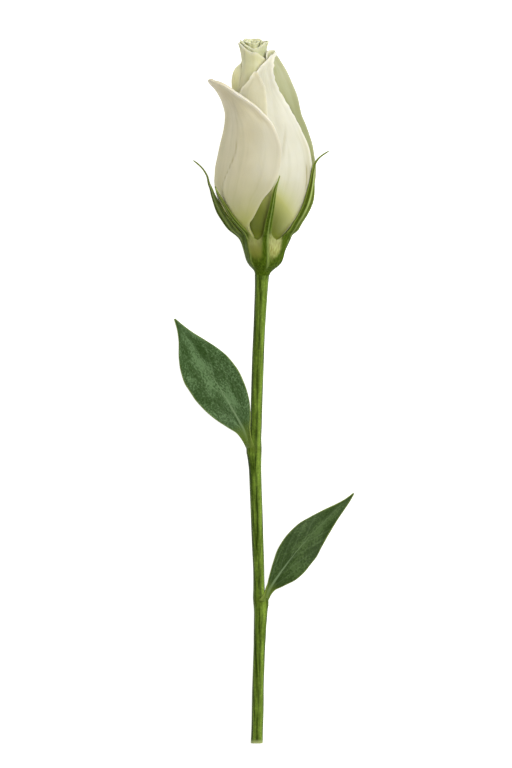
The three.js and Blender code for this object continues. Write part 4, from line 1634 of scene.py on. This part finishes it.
@dataclass
class Calyx:
    """The calyx: a cup of pale skin between five dark keels, which go on as slender lobes."""

    foot: float = -1.6
    sinus: float = 8.0
    columns: int = 14
    cup_rows: int = 12
    lobe_rows: int = 30
    wall: float = 0.4
    stand_off: float = 0.45
    outline: Curve = Curve([
        (-1.6, 2.0), (-0.9, 2.04), (-0.2, 2.35), (0.4, 3.05), (1.35, 4.0), (2.8, 4.75), (5.4, 5.4),
        (6.8, 5.8), (8.8, 6.65),
    ])
    axis: Curve = Curve([
        (-1.6, -0.1), (-0.9, 0.0), (0, 0.25), (1.4, 0.42), (5.4, 0.5), (9, 0.4), (13, 0.15), (20, 0.15),
        (27, 0.6), (34, 0.8),
    ])
    lobes: tuple[CalyxLobe, ...] = (
        CalyxLobe(((0, 14), (4, 10), (9, 8), (12, 9.5), (15, 10.8), (21, 13), (25.2, 17)),
                  ((0, 0), (25.2, 0.1)),
                  ((8, 0.75), (12, 1.05), (15, 0.9), (20, 0.62), (25.2, 0.08)), 25.2,
                  band=((1.0, 1.6), (3, 1.4), (8, 1.3), (9, 1.1), (11, 0.8)),
                  right_band=((1.0, 1.0), (3, 0.4), (5.4, 0.2), (9, 0.25), (11, 0.8)),
                  highlight_line=0.1, highlight_width=((-2, 0.55), (7, 0.5), (9, 0.4), (12, 0.18)),
                  olive_and_painted_shade=((14, 0.1), (20, 0.35), (25.2, 0.8))),
        CalyxLobe(((0, 80), (4, 77), (9, 70), (13, 68.5), (17, 66.5), (20, 64.5), (27, 63.5),
                   (31.9, 70)),
                  ((0, 0), (8.5, 0.1), (10.3, 0.4), (12.5, 0.1), (24, 0), (26, 0.2), (28.6, 0.85),
                   (30.2, 2.1), (31.9, 4.9)),
                  ((9, 1.0), (13, 1.0), (17, 1.05), (21, 1.0), (25, 0.7), (31.9, 0.12)), 31.9,
                  right_width=((9, 2.1), (13, 2.1), (17, 2.2), (21, 2.1), (25, 1.5), (31.9, 0.25)),
                  band=((1.4, 3.8), (3.2, 3.2), (4.3, 2.4), (5.4, 1.8), (8.6, 1.8), (11, 1.0)),
                  right_band=((1.4, 3.4), (9, 3.4), (11, 3.4)),
                  far_lift=1.5, highlight_line=0.8, rim_width=0.9,
                  highlight_width=((0, 0.18), (10, 0.3), (14, 0.7), (18, 0.6), (26, 0.6), (31.9, 0.3)),
                  highlight_strength=((0, 0.35), (12, 0.4), (17, 0.8), (19, 0.95), (25, 0.95), (28, 0.5),
                               (31.9, 0.2)),
                  olive_and_painted_shade=((8, 0.15), (14, 0.35), (20, 0.5), (28, 0.6))),
        CalyxLobe(((0, 152), (9, 150), (24, 150)), ((0, 0), (24, 0)),
                  ((8, 1.0), (12, 1.1), (18, 0.8), (24, 0.12)), 24),
        CalyxLobe(((0, 246), (5, 257), (10, 270), (13, 274), (16, 274), (22, 269), (29.6, 259)),
                  ((0, 0), (8.5, 0.1), (10.3, 0.45), (12, 0.2), (14, 0.05), (21.6, 0), (23.2, 0.45),
                   (24.8, 0.8), (26.5, 1.95), (28.1, 3.5), (28.8, 4.6), (29.6, 5.9)),
                  ((9, 1.1), (14, 1.25), (20, 0.95), (25, 0.5), (29.6, 0.12)), 29.6,
                  keel=((-0.8, 0), (2.5, 0.45), (7, 0.45), (9, 0.9), (10.3, 1.3), (11.9, 1.55),
                        (15.1, 1.5), (16.7, 1.25), (18.4, 0.9), (20, 0.75), (24, 0.7), (29.6, 0.5)),
                  keel_width=1.3, band=((1.4, 3.4), (3, 3.4), (9, 3.4), (11, 3.4)),
                  right_width=((9, 4.9), (11.9, 4.4), (15, 3.7), (18.9, 2.8), (22, 1.4), (25, 0.6),
                               (29.6, 0.12)),
                  far_lift=-0.25, highlight_line=1.2,
                  highlight_width=((0, 0.18), (9, 0.3), (13, 0.7), (22, 0.6), (29.6, 0.3)),
                  olive_and_painted_shade=((8, 0.25), (14, 0.4), (22, 0.5), (29.6, 0.8))),
        CalyxLobe(((0, 308), (5, 312), (9.5, 313), (14, 305), (18.5, 300), (22.4, 293)),
                  ((0, 0), (18, 0), (22.4, 0.15)),
                  ((9, 1.0), (13, 1.05), (18, 0.75), (22.4, 0.12)), 22.4,
                  band=((1.4, 3.4), (9, 3.4), (11, 3.4)),
                  right_band=((1.4, 2.4), (3.2, 0.7), (5.4, 0.1), (7.2, 0.1), (9, 0.7), (11, 1.2)),
                  olive_and_painted_shade=((8, 0.2), (14, 0.4), (18, 0.8), (22.4, 1.0))),
    )
    tuck: float = 0.4
    pale_rise: Curve = Curve([
        (-2, 0), (1.0, 0.0), (2.2, 0.08), (3.2, 0.38), (4.3, 0.88), (5.4, 1), (6.8, 1), (7.6, 0.82),
        (8.6, 0.62), (10, 0.3), (11, 0),
    ])

    def share(self, column: int) -> tuple[int, float]:
        """Which lobe a column of the ring belongs to, and how far across it lies, -1 to 1."""
        lobe, place = divmod(column, self.columns)
        return lobe, 2 * place / self.columns - 1

    def cup_angle(self, lobe: int, across: float, height: float) -> float:
        """Turns a place in a lobe's share of the cup, which reaches half way to the next, into an angle.

        Args:
            lobe: the lobe's number.
            across: -1 to 1 across the share, from left to right.
            height: millimetres up the flower.

        Returns:
            Degrees round the calyx's axis.
        """
        own = Curve(self.lobes[lobe].angle)(height)
        step = 1 if across > 0 else -1
        other = Curve(self.lobes[(lobe + step) % len(self.lobes)].angle)(height)
        gap = ((other - own) * step) % 360
        return own + across * gap / 2

    def free(self, height: float) -> float:
        """0 in the cup and 1 where the lobes lie free along the petals."""
        return smooth(6, 10.5, height)

    def radius(self, lobe: int, from_keel: float, height: float) -> float:
        """Places the outer face, with the keel standing proud.

        Args:
            lobe: the lobe's number.
            from_keel: millimetres from its keel, to either side.
            height: millimetres up the flower.

        Returns:
            The face's distance from the axis, in millimetres.
        """
        form = self.lobes[lobe]
        on_petals = BLOOM_RADIUS(height) + self.stand_off + Curve(form.proud)(height)
        keel = Curve(form.keel)(height) * math.exp(-from_keel / form.keel_width)
        slim = blend(1, 0.5, smooth(form.tip * 0.6, form.tip, height))
        return blend(self.outline(height), on_petals, self.free(height)) + keel * slim

    def cup_point(self, column: int, height: float) -> Vector:
        """Gives a point of the cup.

        Args:
            column: the point's number round the cup.
            height: millimetres up the flower.

        Returns:
            The point, in the flower's frame.
        """
        lobe, across = self.share(column)
        angle = self.cup_angle(lobe, across, height)
        own = Curve(self.lobes[lobe].angle)(height)
        from_keel = math.radians(abs(angle - own)) * self.outline(height)
        lift = self.far_lift(self.lobes[lobe], across, height) - self.tucked(across, height)
        return round_point(self.axis, angle, height, self.radius(lobe, from_keel, height) + lift)

    def tucked(self, across: float, height: float) -> float:
        """How far the thin skin between two keels is drawn in against the petals."""
        between = smooth(0.45, 1.0, abs(across))
        return self.tuck * between * smooth(4, self.sinus, height) * (1 - smooth(self.sinus, 10.5, height))

    def lobe_point(self, lobe: int, across: float, row: int) -> Vector:
        """Gives a point of a free lobe, whose width closes in quickly above the sinus.

        Args:
            lobe: the lobe's number.
            across: -1 at its left margin to 1 at its right one.
            row: the row's number, from the sinus up.

        Returns:
            The point, in the flower's frame.
        """
        form = self.lobes[lobe]
        height = blend(self.sinus, form.tip, (row / self.lobe_rows) ** 1.25)
        rise = height - self.sinus
        own = Curve(form.angle)(height)
        radius = self.radius(lobe, 0, height)
        half_angle = math.degrees(form.width(across, height) / radius)
        cup_side = abs(self.cup_angle(lobe, math.copysign(1, across), height) - own)
        closing = math.exp(-rise / 0.9)
        reach = half_angle + max(cup_side - half_angle, 0) * closing
        from_keel = math.radians(abs(across) * reach) * radius
        lift = self.far_lift(form, across, height) - self.tucked(across, height)
        reach_out = self.radius(lobe, from_keel, height) + lift
        return round_point(self.axis, own + across * reach, height, reach_out)

    def far_lift(self, form: CalyxLobe, across: float, height: float) -> float:
        """Lifts the right half of a lobe: its middle in the cup, its margin where it is free.

        Args:
            form: the lobe.
            across: -1 to 1 across it, from left to right.
            height: millimetres up the flower.

        Returns:
            The lift, in millimetres.
        """
        far = max(across, 0)
        shape = blend(4 * far * (1 - far), far, smooth(self.sinus, self.sinus + 2.5, height))
        return form.far_lift * shape * within((3, 11), (17, 27), height)

    def build(self) -> None:
        """Makes the cup as a ring that is extruded upwards, and each lobe out of its top edge."""
        sides = self.columns * len(self.lobes)
        calyx = start_ring("Calyx", sides, lambda i: self.cup_point(i, self.foot), False)
        for row in range(1, self.cup_rows + 1):
            height = blend(self.foot, self.sinus, row / self.cup_rows)
            extrude_row(calyx, lambda i, h=height: self.cup_point(i, h))
        shape = bmesh.from_edit_mesh(calyx.data)
        column = shape.verts.layers.int["column"]
        top = {v[column]: v.index for v in shape.verts if v.select}
        for lobe in range(len(self.lobes)):
            self.extrude_lobe(calyx, lobe, top)
        facing_out(calyx)
        self.turn_out(calyx)
        self.finish(calyx)

    def turn_out(self, calyx: bpy.types.Object) -> None:
        """Flips the open cup when its faces look at the stem's axis, so that the wall grows inwards.

        Args:
            calyx: the calyx in object mode.
        """
        middle = LYING.place(Vector((self.axis(self.foot), self.foot, 0)))
        foot_face = min(calyx.data.polygons, key=lambda face: (face.center - middle).length)
        if foot_face.normal.dot(foot_face.center - middle) < 0:
            bpy.ops.object.mode_set(mode="EDIT")
            bpy.ops.mesh.select_all(action="SELECT")
            bpy.ops.mesh.flip_normals()
            bpy.ops.object.mode_set(mode="OBJECT")

    def extrude_lobe(self, calyx: bpy.types.Object, lobe: int, top: dict[int, int]) -> None:
        """Draws one lobe out of its stretch of the cup's top edge.

        Args:
            calyx: the calyx in edit mode.
            lobe: the lobe's number.
            top: the index of the top point of each column of the cup.
        """
        sides = self.columns * len(self.lobes)
        first = lobe * self.columns
        stretch = [(first + i) % sides for i in range(self.columns + 1)]
        bpy.ops.mesh.select_all(action="DESELECT")
        shape = bmesh.from_edit_mesh(calyx.data)
        shape.verts.ensure_lookup_table()
        rows = [shape.verts[top[number]] for number in stretch]
        for start, end in zip(rows, rows[1:]):
            start.select = True
            end.select = True
            shape.edges.get((start, end)).select = True
        bmesh.update_edit_mesh(calyx.data)
        last = (first + self.columns) % sides

        def place(number: int, row: int) -> Vector:
            """The place of a column's point in a row of this lobe."""
            across = 1.0 if number == last else 2 * (number - first) / self.columns - 1
            return self.lobe_point(lobe, across, row)

        for row in range(1, self.lobe_rows + 1):
            extrude_row(calyx, lambda number, r=row: place(number, r))

    def finish(self, calyx: bpy.types.Object) -> None:
        """Gives the calyx its marks, its wall and its skin.

        Args:
            calyx: the calyx in object mode.
        """
        rules = {
            "membrane": self.pale_skin, "veil": self.veil, "rim": self.thin_rim, "highlight_line": self.highlight_line,
            "olive_and_painted_shade": self.olive_and_painted_shade, "painted_shade_left": self.painted_shade_left,
        }
        for name, rule in rules.items():
            mark_points(calyx, name, rule)
        give_wall(calyx, self.wall)
        dress(calyx, CalyxSkin().build(), ["calyx"])

    def flower_place(self, point: Vector) -> tuple[float, float, float]:
        """Finds a point of the mesh in the flower's frame.

        Args:
            point: the point in the part's frame, in metres.

        Returns:
            Its height in millimetres, its angle round the calyx's axis in degrees and its radius.
        """
        tilt = LYING.tilt
        y = (point.y - LYING.along) / MM
        z = point.z / MM / math.cos(tilt)
        height = (y + math.sin(tilt) * (z - BELLY_DEPTH + BELLY_HEIGHT * LYING_SLOPE)) / (
            math.cos(tilt) + math.sin(tilt) * LYING_SLOPE)
        depth = z + resting_surface(height)
        x = (point.x - LYING.across) / MM - self.axis(height)
        return height, math.degrees(math.atan2(x, depth)), math.hypot(x, depth)

    def from_keel(self, lobe: CalyxLobe, height: float, angle: float, radius: float) -> float:
        """Distance along the surface from a lobe's keel, positive to its right."""
        return math.radians(turned(angle, Curve(lobe.angle)(height))) * radius

    def pale_skin(self, point: Vector) -> float:
        """Marks the pale skin of the cup.

        Args:
            point: a point of the mesh, in the part's frame.

        Returns:
            1 on the pale skin, falling to 0 in the dark bands of the keels.
        """
        height, angle, radius = self.flower_place(point)
        shares = []
        for lobe in self.lobes:
            across = self.from_keel(lobe, height, angle, radius)
            band = lobe.band_width(across, height)
            shares.append(smooth(band - 0.25, band + 0.65, abs(across)))
        return min(shares) * self.pale_rise(height)

    def veil(self, point: Vector) -> float:
        """Marks the top of the pale skin, where it thins out to a whitish film.

        Args:
            point: a point of the mesh, in the part's frame.

        Returns:
            How much of the film shows; the extra on the right is painted light.
        """
        height, angle, _ = self.flower_place(point)
        right = 0.15 + 0.1 * smooth(0, 20, angle)
        return right * smooth(4.4, 8.0, height) * self.pale_skin(point)

    def painted_shade_left(self, point: Vector) -> float:
        """Painted shade: how much duller and browner the pale skin is, left of the front keel, away from the
        light.
        """
        height, angle, _ = self.flower_place(point)
        return (1 - smooth(0, 14, angle)) * (1 - 0.5 * smooth(6.5, 8.0, height))

    def olive_and_painted_shade(self, point: Vector) -> float:
        """Marks how far the nearest lobe has turned olive, partly its own colour and partly painted shade.

        Args:
            point: a point of the mesh, in the part's frame.

        Returns:
            How much of the olive and painted shade shows.
        """
        height, angle, radius = self.flower_place(point)
        nearest = min(self.lobes, key=lambda lobe: abs(self.from_keel(lobe, height, angle, radius)))
        return Curve(nearest.olive_and_painted_shade)(height)

    def thin_rim(self, point: Vector) -> float:
        """Marks the thin margins of the free lobes.

        Args:
            point: a point of the mesh, in the part's frame.

        Returns:
            0.5 at a margin, falling to 0 over its width.
        """
        height, angle, radius = self.flower_place(point)
        places = [(self.from_keel(lobe, height, angle, radius), lobe) for lobe in self.lobes]
        across, lobe = min(places, key=lambda place: abs(place[0]))
        inside = lobe.width(across, height) - abs(across)
        reach = lobe.rim_width if across > 0 else 0.4
        return 0.5 * (1 - smooth(0.05, reach, inside)) * smooth(9, 11, height)

    def highlight_line(self, point: Vector) -> float:
        """Marks the painted highlight, a light line just right of each keel.

        Args:
            point: a point of the mesh, in the part's frame.

        Returns:
            How much of the highlight colour shows, which the lobe's highlight strength says.
        """
        height, angle, radius = self.flower_place(point)
        shares = []
        for lobe in self.lobes:
            near = abs(self.from_keel(lobe, height, angle, radius) - lobe.highlight_line)
            line = 1 - smooth(0.05, Curve(lobe.highlight_width)(height), near)
            shares.append(Curve(lobe.highlight_strength)(height) * line)
        return max(shares) * smooth(-0.5, 1.5, height)


# Shares of a leaf's length where its widths to the left and right are given
WIDTH_SHARES = (0, 0.08, 0.15, 0.25, 0.35, 0.45, 0.55, 0.65, 0.75, 0.85, 0.93, 1)


@dataclass
class Leaf:
    """A stalkless leaf: a troughed, waved blade on a drooping midrib, its foot on the stem."""

    name: str
    node: str
    midrib: tuple[tuple[float, float, float], ...]
    left: tuple[float, ...]
    right: tuple[float, ...]
    foot_left: tuple[float, float]
    foot_right: tuple[float, float]
    wave: tuple[float, float, float]
    skin: LeafSkin
    trough: float = 0.13
    clasp: float = 0.1
    thickness: float = 0.42
    cad_thickness: float = 0.7
    gap: float = 0.05
    foot_sink: float = 0.6
    columns: int = 48
    rows: int = 80
    crowding: float = -0.25
    rim_thickness: float = 0.3
    rib_width: float = 0.32
    rib_height: float = 0.16
    side_veins: tuple[float, ...] = (0.08, 0.2, 0.34, 0.48)
    side_vein_depth: float = 0.04
    side_vein_share: float = 0.12
    wax_middle: float = -2.0
    wax_spread: float = 2.6

    def __post_init__(self) -> None:
        """Turns the widths into curves and the midrib into a smooth line."""
        self.left_width = Curve(list(zip(WIDTH_SHARES, self.left)))
        self.right_width = Curve(list(zip(WIDTH_SHARES, self.right)))
        shares = [0.0]
        for start, end in zip(self.midrib, self.midrib[1:]):
            shares.append(shares[-1] + (Vector(end) - Vector(start)).length)
        self.rib = [
            Curve([(share / shares[-1], point[axis]) for share, point in zip(shares, self.midrib)])
            for axis in range(3)
        ]

    def rib_point(self, v: float) -> Vector:
        """A point of the midrib."""
        return Vector([curve(v) for curve in self.rib])

    def offset(self, u: float, v: float) -> float:
        """Distance to the right of the midrib, in millimetres."""
        across = 2 * u - 1
        return across * (self.left_width(v) if across < 0 else self.right_width(v))

    def surface(self, u: float, v: float) -> Vector:
        """Gives a point of the upper face.

        Args:
            u: share across the leaf, from its left margin.
            v: share along it, from its foot.

        Returns:
            The point, in the flower's frame.
        """
        step = 0.01
        ahead = self.rib_point(min(v + step, 1)) - self.rib_point(max(v - step, 0))
        side = Vector((ahead.y, -ahead.x, 0)).normalized()
        across = 2 * u - 1
        offset = self.offset(u, v)
        height, count, phase = self.wave
        ripple = height * across ** 2 * math.sin(2 * math.pi * count * v + phase + across)
        blade = self.rib_point(v) + side * offset
        blade.z += self.trough * abs(offset) + ripple * within((0.1, 0.3), (0.75, 0.95), v)
        blade.z += self.vein_relief(u, v) - (self.cad_thickness - self.thickness) * 0.5
        hold = 1 - smooth(0, self.clasp, v)
        foot_height = blend(self.foot_left[1], self.foot_right[1], u)
        foot_angle = blend(self.foot_left[0], self.foot_right[0], u)
        sunk = self.foot_sink * (1 - smooth(0, 0.02, v))
        reach = STEM_RADIUS(foot_height) + self.gap + self.thickness - sunk
        foot = round_point(STEM_AXIS, foot_angle, foot_height, reach)
        return self.clear_of_stem(blade.lerp(foot, hold), sunk)

    def clear_of_stem(self, point: Vector, sunk: float) -> Vector:
        """Moves a point out to the stem's surface if it would lie inside.

        Args:
            point: the point, in the flower's frame.
            sunk: millimetres that it may lie below the surface.

        Returns:
            The point, moved where it had to be.
        """
        sideways = point.x - STEM_AXIS(point.y)
        distance = math.hypot(sideways, point.z)
        nearest = STEM_RADIUS(point.y) + self.gap + self.thickness - sunk
        push = max(nearest / distance, 1)
        return Vector((STEM_AXIS(point.y) + sideways * push, point.y, point.z * push))

    def side_vein(self, u: float, v: float) -> float:
        """Draws the few arching side veins of the blade.

        Args:
            u: share across the leaf.
            v: share along it.

        Returns:
            1 on a side vein, fading beside it and towards its end.
        """
        offset = abs(self.offset(u, v))
        best = 0.0
        for start in self.side_veins:
            run = v - start
            if run <= 0:
                continue
            line = 16 * run * (1 - 0.75 * run)
            best = max(best, (1 - smooth(0, 0.3, abs(offset - line))) * (1 - smooth(0.2, 0.45, run)))
        return best

    def vein_relief(self, u: float, v: float) -> float:
        """Lifts the midrib a little out of a shallow groove and sinks the side veins.

        Args:
            u: share across the leaf.
            v: share along it.

        Returns:
            The lift, in millimetres.
        """
        offset = abs(self.offset(u, v))
        rib = self.rib_height * bell(offset, self.rib_width)
        groove = self.rib_height * 0.8 * bell(offset, 3 * self.rib_width)
        return (rib - groove) * (1 - smooth(0.7, 1, v)) - self.side_vein_depth * self.side_vein(u, v)

    def vein(self, u: float, v: float) -> float:
        """Marks the midrib and the side veins.

        Args:
            u: share across the leaf.
            v: share along it.

        Returns:
            How much of the pale vein colour shows.
        """
        offset = abs(self.offset(u, v))
        width = blend(0.38, 0.09, smooth(0, 0.45, v))
        rib = (1 - smooth(width * 0.4, width * 1.3, offset)) * blend(0.6, 0.15, smooth(0.25, 0.6, v))
        rib *= 1 - smooth(0.8, 0.95, v)
        return max(rib, self.side_vein_share * self.side_vein(u, v))

    def wax(self, u: float, v: float) -> float:
        """1 in the middle of the pale waxy patch along the blade, fading all round."""
        patch = bell(self.offset(u, v) - self.wax_middle, self.wax_spread)
        return patch * within((0.1, 0.3), (0.75, 0.95), v)

    def rim(self, u: float, v: float) -> float:
        """Marks the thin yellow-green margin, which is wider and stronger at the foot.

        Args:
            u: share across the leaf.
            v: share along it.

        Returns:
            How much of its colour shows.
        """
        across = 2 * u - 1
        width = self.left_width(v) if across < 0 else self.right_width(v)
        inside = (1 - abs(across)) * width
        foot = 1 - smooth(0.05, 0.14, v)
        return blend(0.55, 1.0, foot) * (1 - smooth(0.08, blend(0.28, 0.42, foot), inside))

    def foot(self, _u: float, v: float) -> float:
        """How much of the yellow-green foot shows."""
        return 0.9 * (1 - smooth(0.03, 0.16, v))

    def build(self) -> None:
        """Makes the leaf and dresses it."""
        marks = {"vein": self.vein, "rim": self.rim, "foot": self.foot, "wax": self.wax}
        blade = SheetMaker(self.name, self.surface, self.columns, self.rows, self.thickness,
                           self.rim_thickness, marks, self.crowding).build()
        dress(blade, self.skin.build(), [self.node])


def leaves() -> list[Leaf]:
    """Lists the two leaves, the upper one first.

    Returns:
        Both leaves, not built yet.
    """
    tip_lift = 0.7
    upper_tip = resting_surface(-13.0) + tip_lift
    lower_tip = resting_surface(-60.3) + tip_lift
    return [
        Leaf(
            name="Upper_leaf", node="leaf_upper",
            midrib=((-3.3, -46.4, 0.6), (-8.0, -37.8, 0.9), (-13.1, -29.4, -1.4), (-18.6, -21.2, -5.4),
                    (-23.9, -13.0, upper_tip)),
            left=(1.0, 1.9, 3.5, 5.5, 6.8, 7.4, 7.4, 6.5, 4.7, 2.3, 0.95, 0.2),
            right=(0.5, 1.8, 3.45, 5.35, 6.35, 6.8, 6.5, 5.5, 3.9, 2.1, 1.0, 0.2),
            foot_left=(-110, -49.2), foot_right=(-5, -47.8), wave=(0.45, 2.2, 0.4),
            skin=LeafSkin("Upper leaf skin", "243D0D", "5D784F"), wax_middle=0.0, wax_spread=4.5,
        ),
        Leaf(
            name="Lower_leaf", node="leaf_lower",
            midrib=((0.1, -88.8, 0.5), (5.4, -80.9, 0.9), (11.3, -73.5, -0.3), (17.9, -66.7, -2.8),
                    (24.8, -60.3, lower_tip)),
            left=(0.8, 1.0, 1.9, 3.3, 4.5, 4.85, 4.6, 3.6, 2.4, 1.1, 0.45, 0.2),
            right=(0.9, 1.2, 2.7, 4.6, 5.2, 5.2, 4.4, 3.4, 2.5, 1.7, 1.0, 0.2),
            foot_left=(-5, -89.3), foot_right=(110, -90.6), wave=(0.35, 2.6, 1.9),
            skin=LeafSkin("Lower leaf skin", "22370B", "465C30", width_mm=10),
            wax_middle=0.5, wax_spread=3.2,
        ),
    ]


@dataclass
class Studio:
    """The pale floor, the soft lights and the camera, which looks square to the stem."""

    centre: Vector = field(default_factory=lambda: Vector((-1.755, -30.78, 0)))
    view_height: float = 207.36
    distance: float = 2400.0
    sensor: float = 36.0
    floor_size: float = 3.0
    surround: float = 0.18
    farthest: float = 20.0

    def floor(self) -> None:
        """Lays the flat floor that the flower lies on."""
        deselect_all()
        bpy.ops.mesh.primitive_plane_add(size=self.floor_size)
        floor = bpy.context.object
        floor.name = "Floor"
        floor.data.materials.append(OpalBoard().build())

    def light(self, name: str, place: tuple[float, float, float], size: float, power: float,
              colour: tuple[float, float, float]) -> None:
        """Hangs a square soft light that looks at the flower.

        Args:
            name: the light's name.
            place: where it hangs, in the flower's frame in millimetres.
            size: side of the square, in metres.
            power: watts.
            colour: linear red, green and blue.
        """
        spot = LYING.aim(Vector(place))
        target = LYING.aim(Vector((0, -20, 0)))
        deselect_all()
        bpy.ops.object.light_add(type="AREA", location=spot)
        lamp = bpy.context.object
        lamp.name = name
        lamp.rotation_euler = (target - spot).to_track_quat("-Z", "Y").to_euler()
        lamp.data.shape = "SQUARE"
        lamp.data.size = size
        lamp.data.energy = power
        lamp.data.color = colour

    def lights(self) -> None:
        """Hangs the key light to the right and a fill to the left, and makes the pale surround."""
        self.light("Key", (900, 620, 1800), 1.5, 54.0, (1.0, 0.985, 0.955))
        self.light("Fill", (-1400, -100, 1300), 1.4, 8.0, (1.0, 0.98, 0.95))
        world = bpy.data.worlds.new("Pale room")
        bpy.context.scene.world = world
        world.use_nodes = True
        world.node_tree.nodes.clear()
        surround = add_node(world.node_tree, "ShaderNodeBackground", {
            "Color": grey(1.0), "Strength": self.surround,
        })
        add_node(world.node_tree, "ShaderNodeOutputWorld", {"Surface": surround.outputs["Background"]})
        bpy.context.scene.view_settings.view_transform = "Standard"

    def camera(self) -> None:
        """Hangs the camera square to the stem, so that the picture keeps the flower's shape."""
        eye = LYING.aim(self.centre + Vector((0, 0, self.distance)))
        target = LYING.aim(self.centre)
        deselect_all()
        bpy.ops.object.camera_add(location=eye)
        camera = bpy.context.object
        camera.name = "Camera"
        camera.rotation_euler = (LYING.tilt, 0, 0)
        camera.data.sensor_fit = "VERTICAL"
        camera.data.sensor_height = self.sensor
        camera.data.lens = self.sensor * (eye - target).length / (self.view_height * MM)
        camera.data.clip_end = self.farthest
        bpy.context.scene.camera = camera

    def build(self) -> None:
        """Sets the whole stage."""
        self.camera()
        self.floor()
        self.lights()


def main() -> None:
    """Builds the stage and then the flower, from the stem up to the bloom."""
    logging.basicConfig(level=logging.INFO, format="%(name)s: %(message)s")
    Studio().build()
    Stem().build()
    Calyx().build()
    for leaf in leaves():
        leaf.build()
    Bloom().build()


if __name__ == "__main__":
    main()
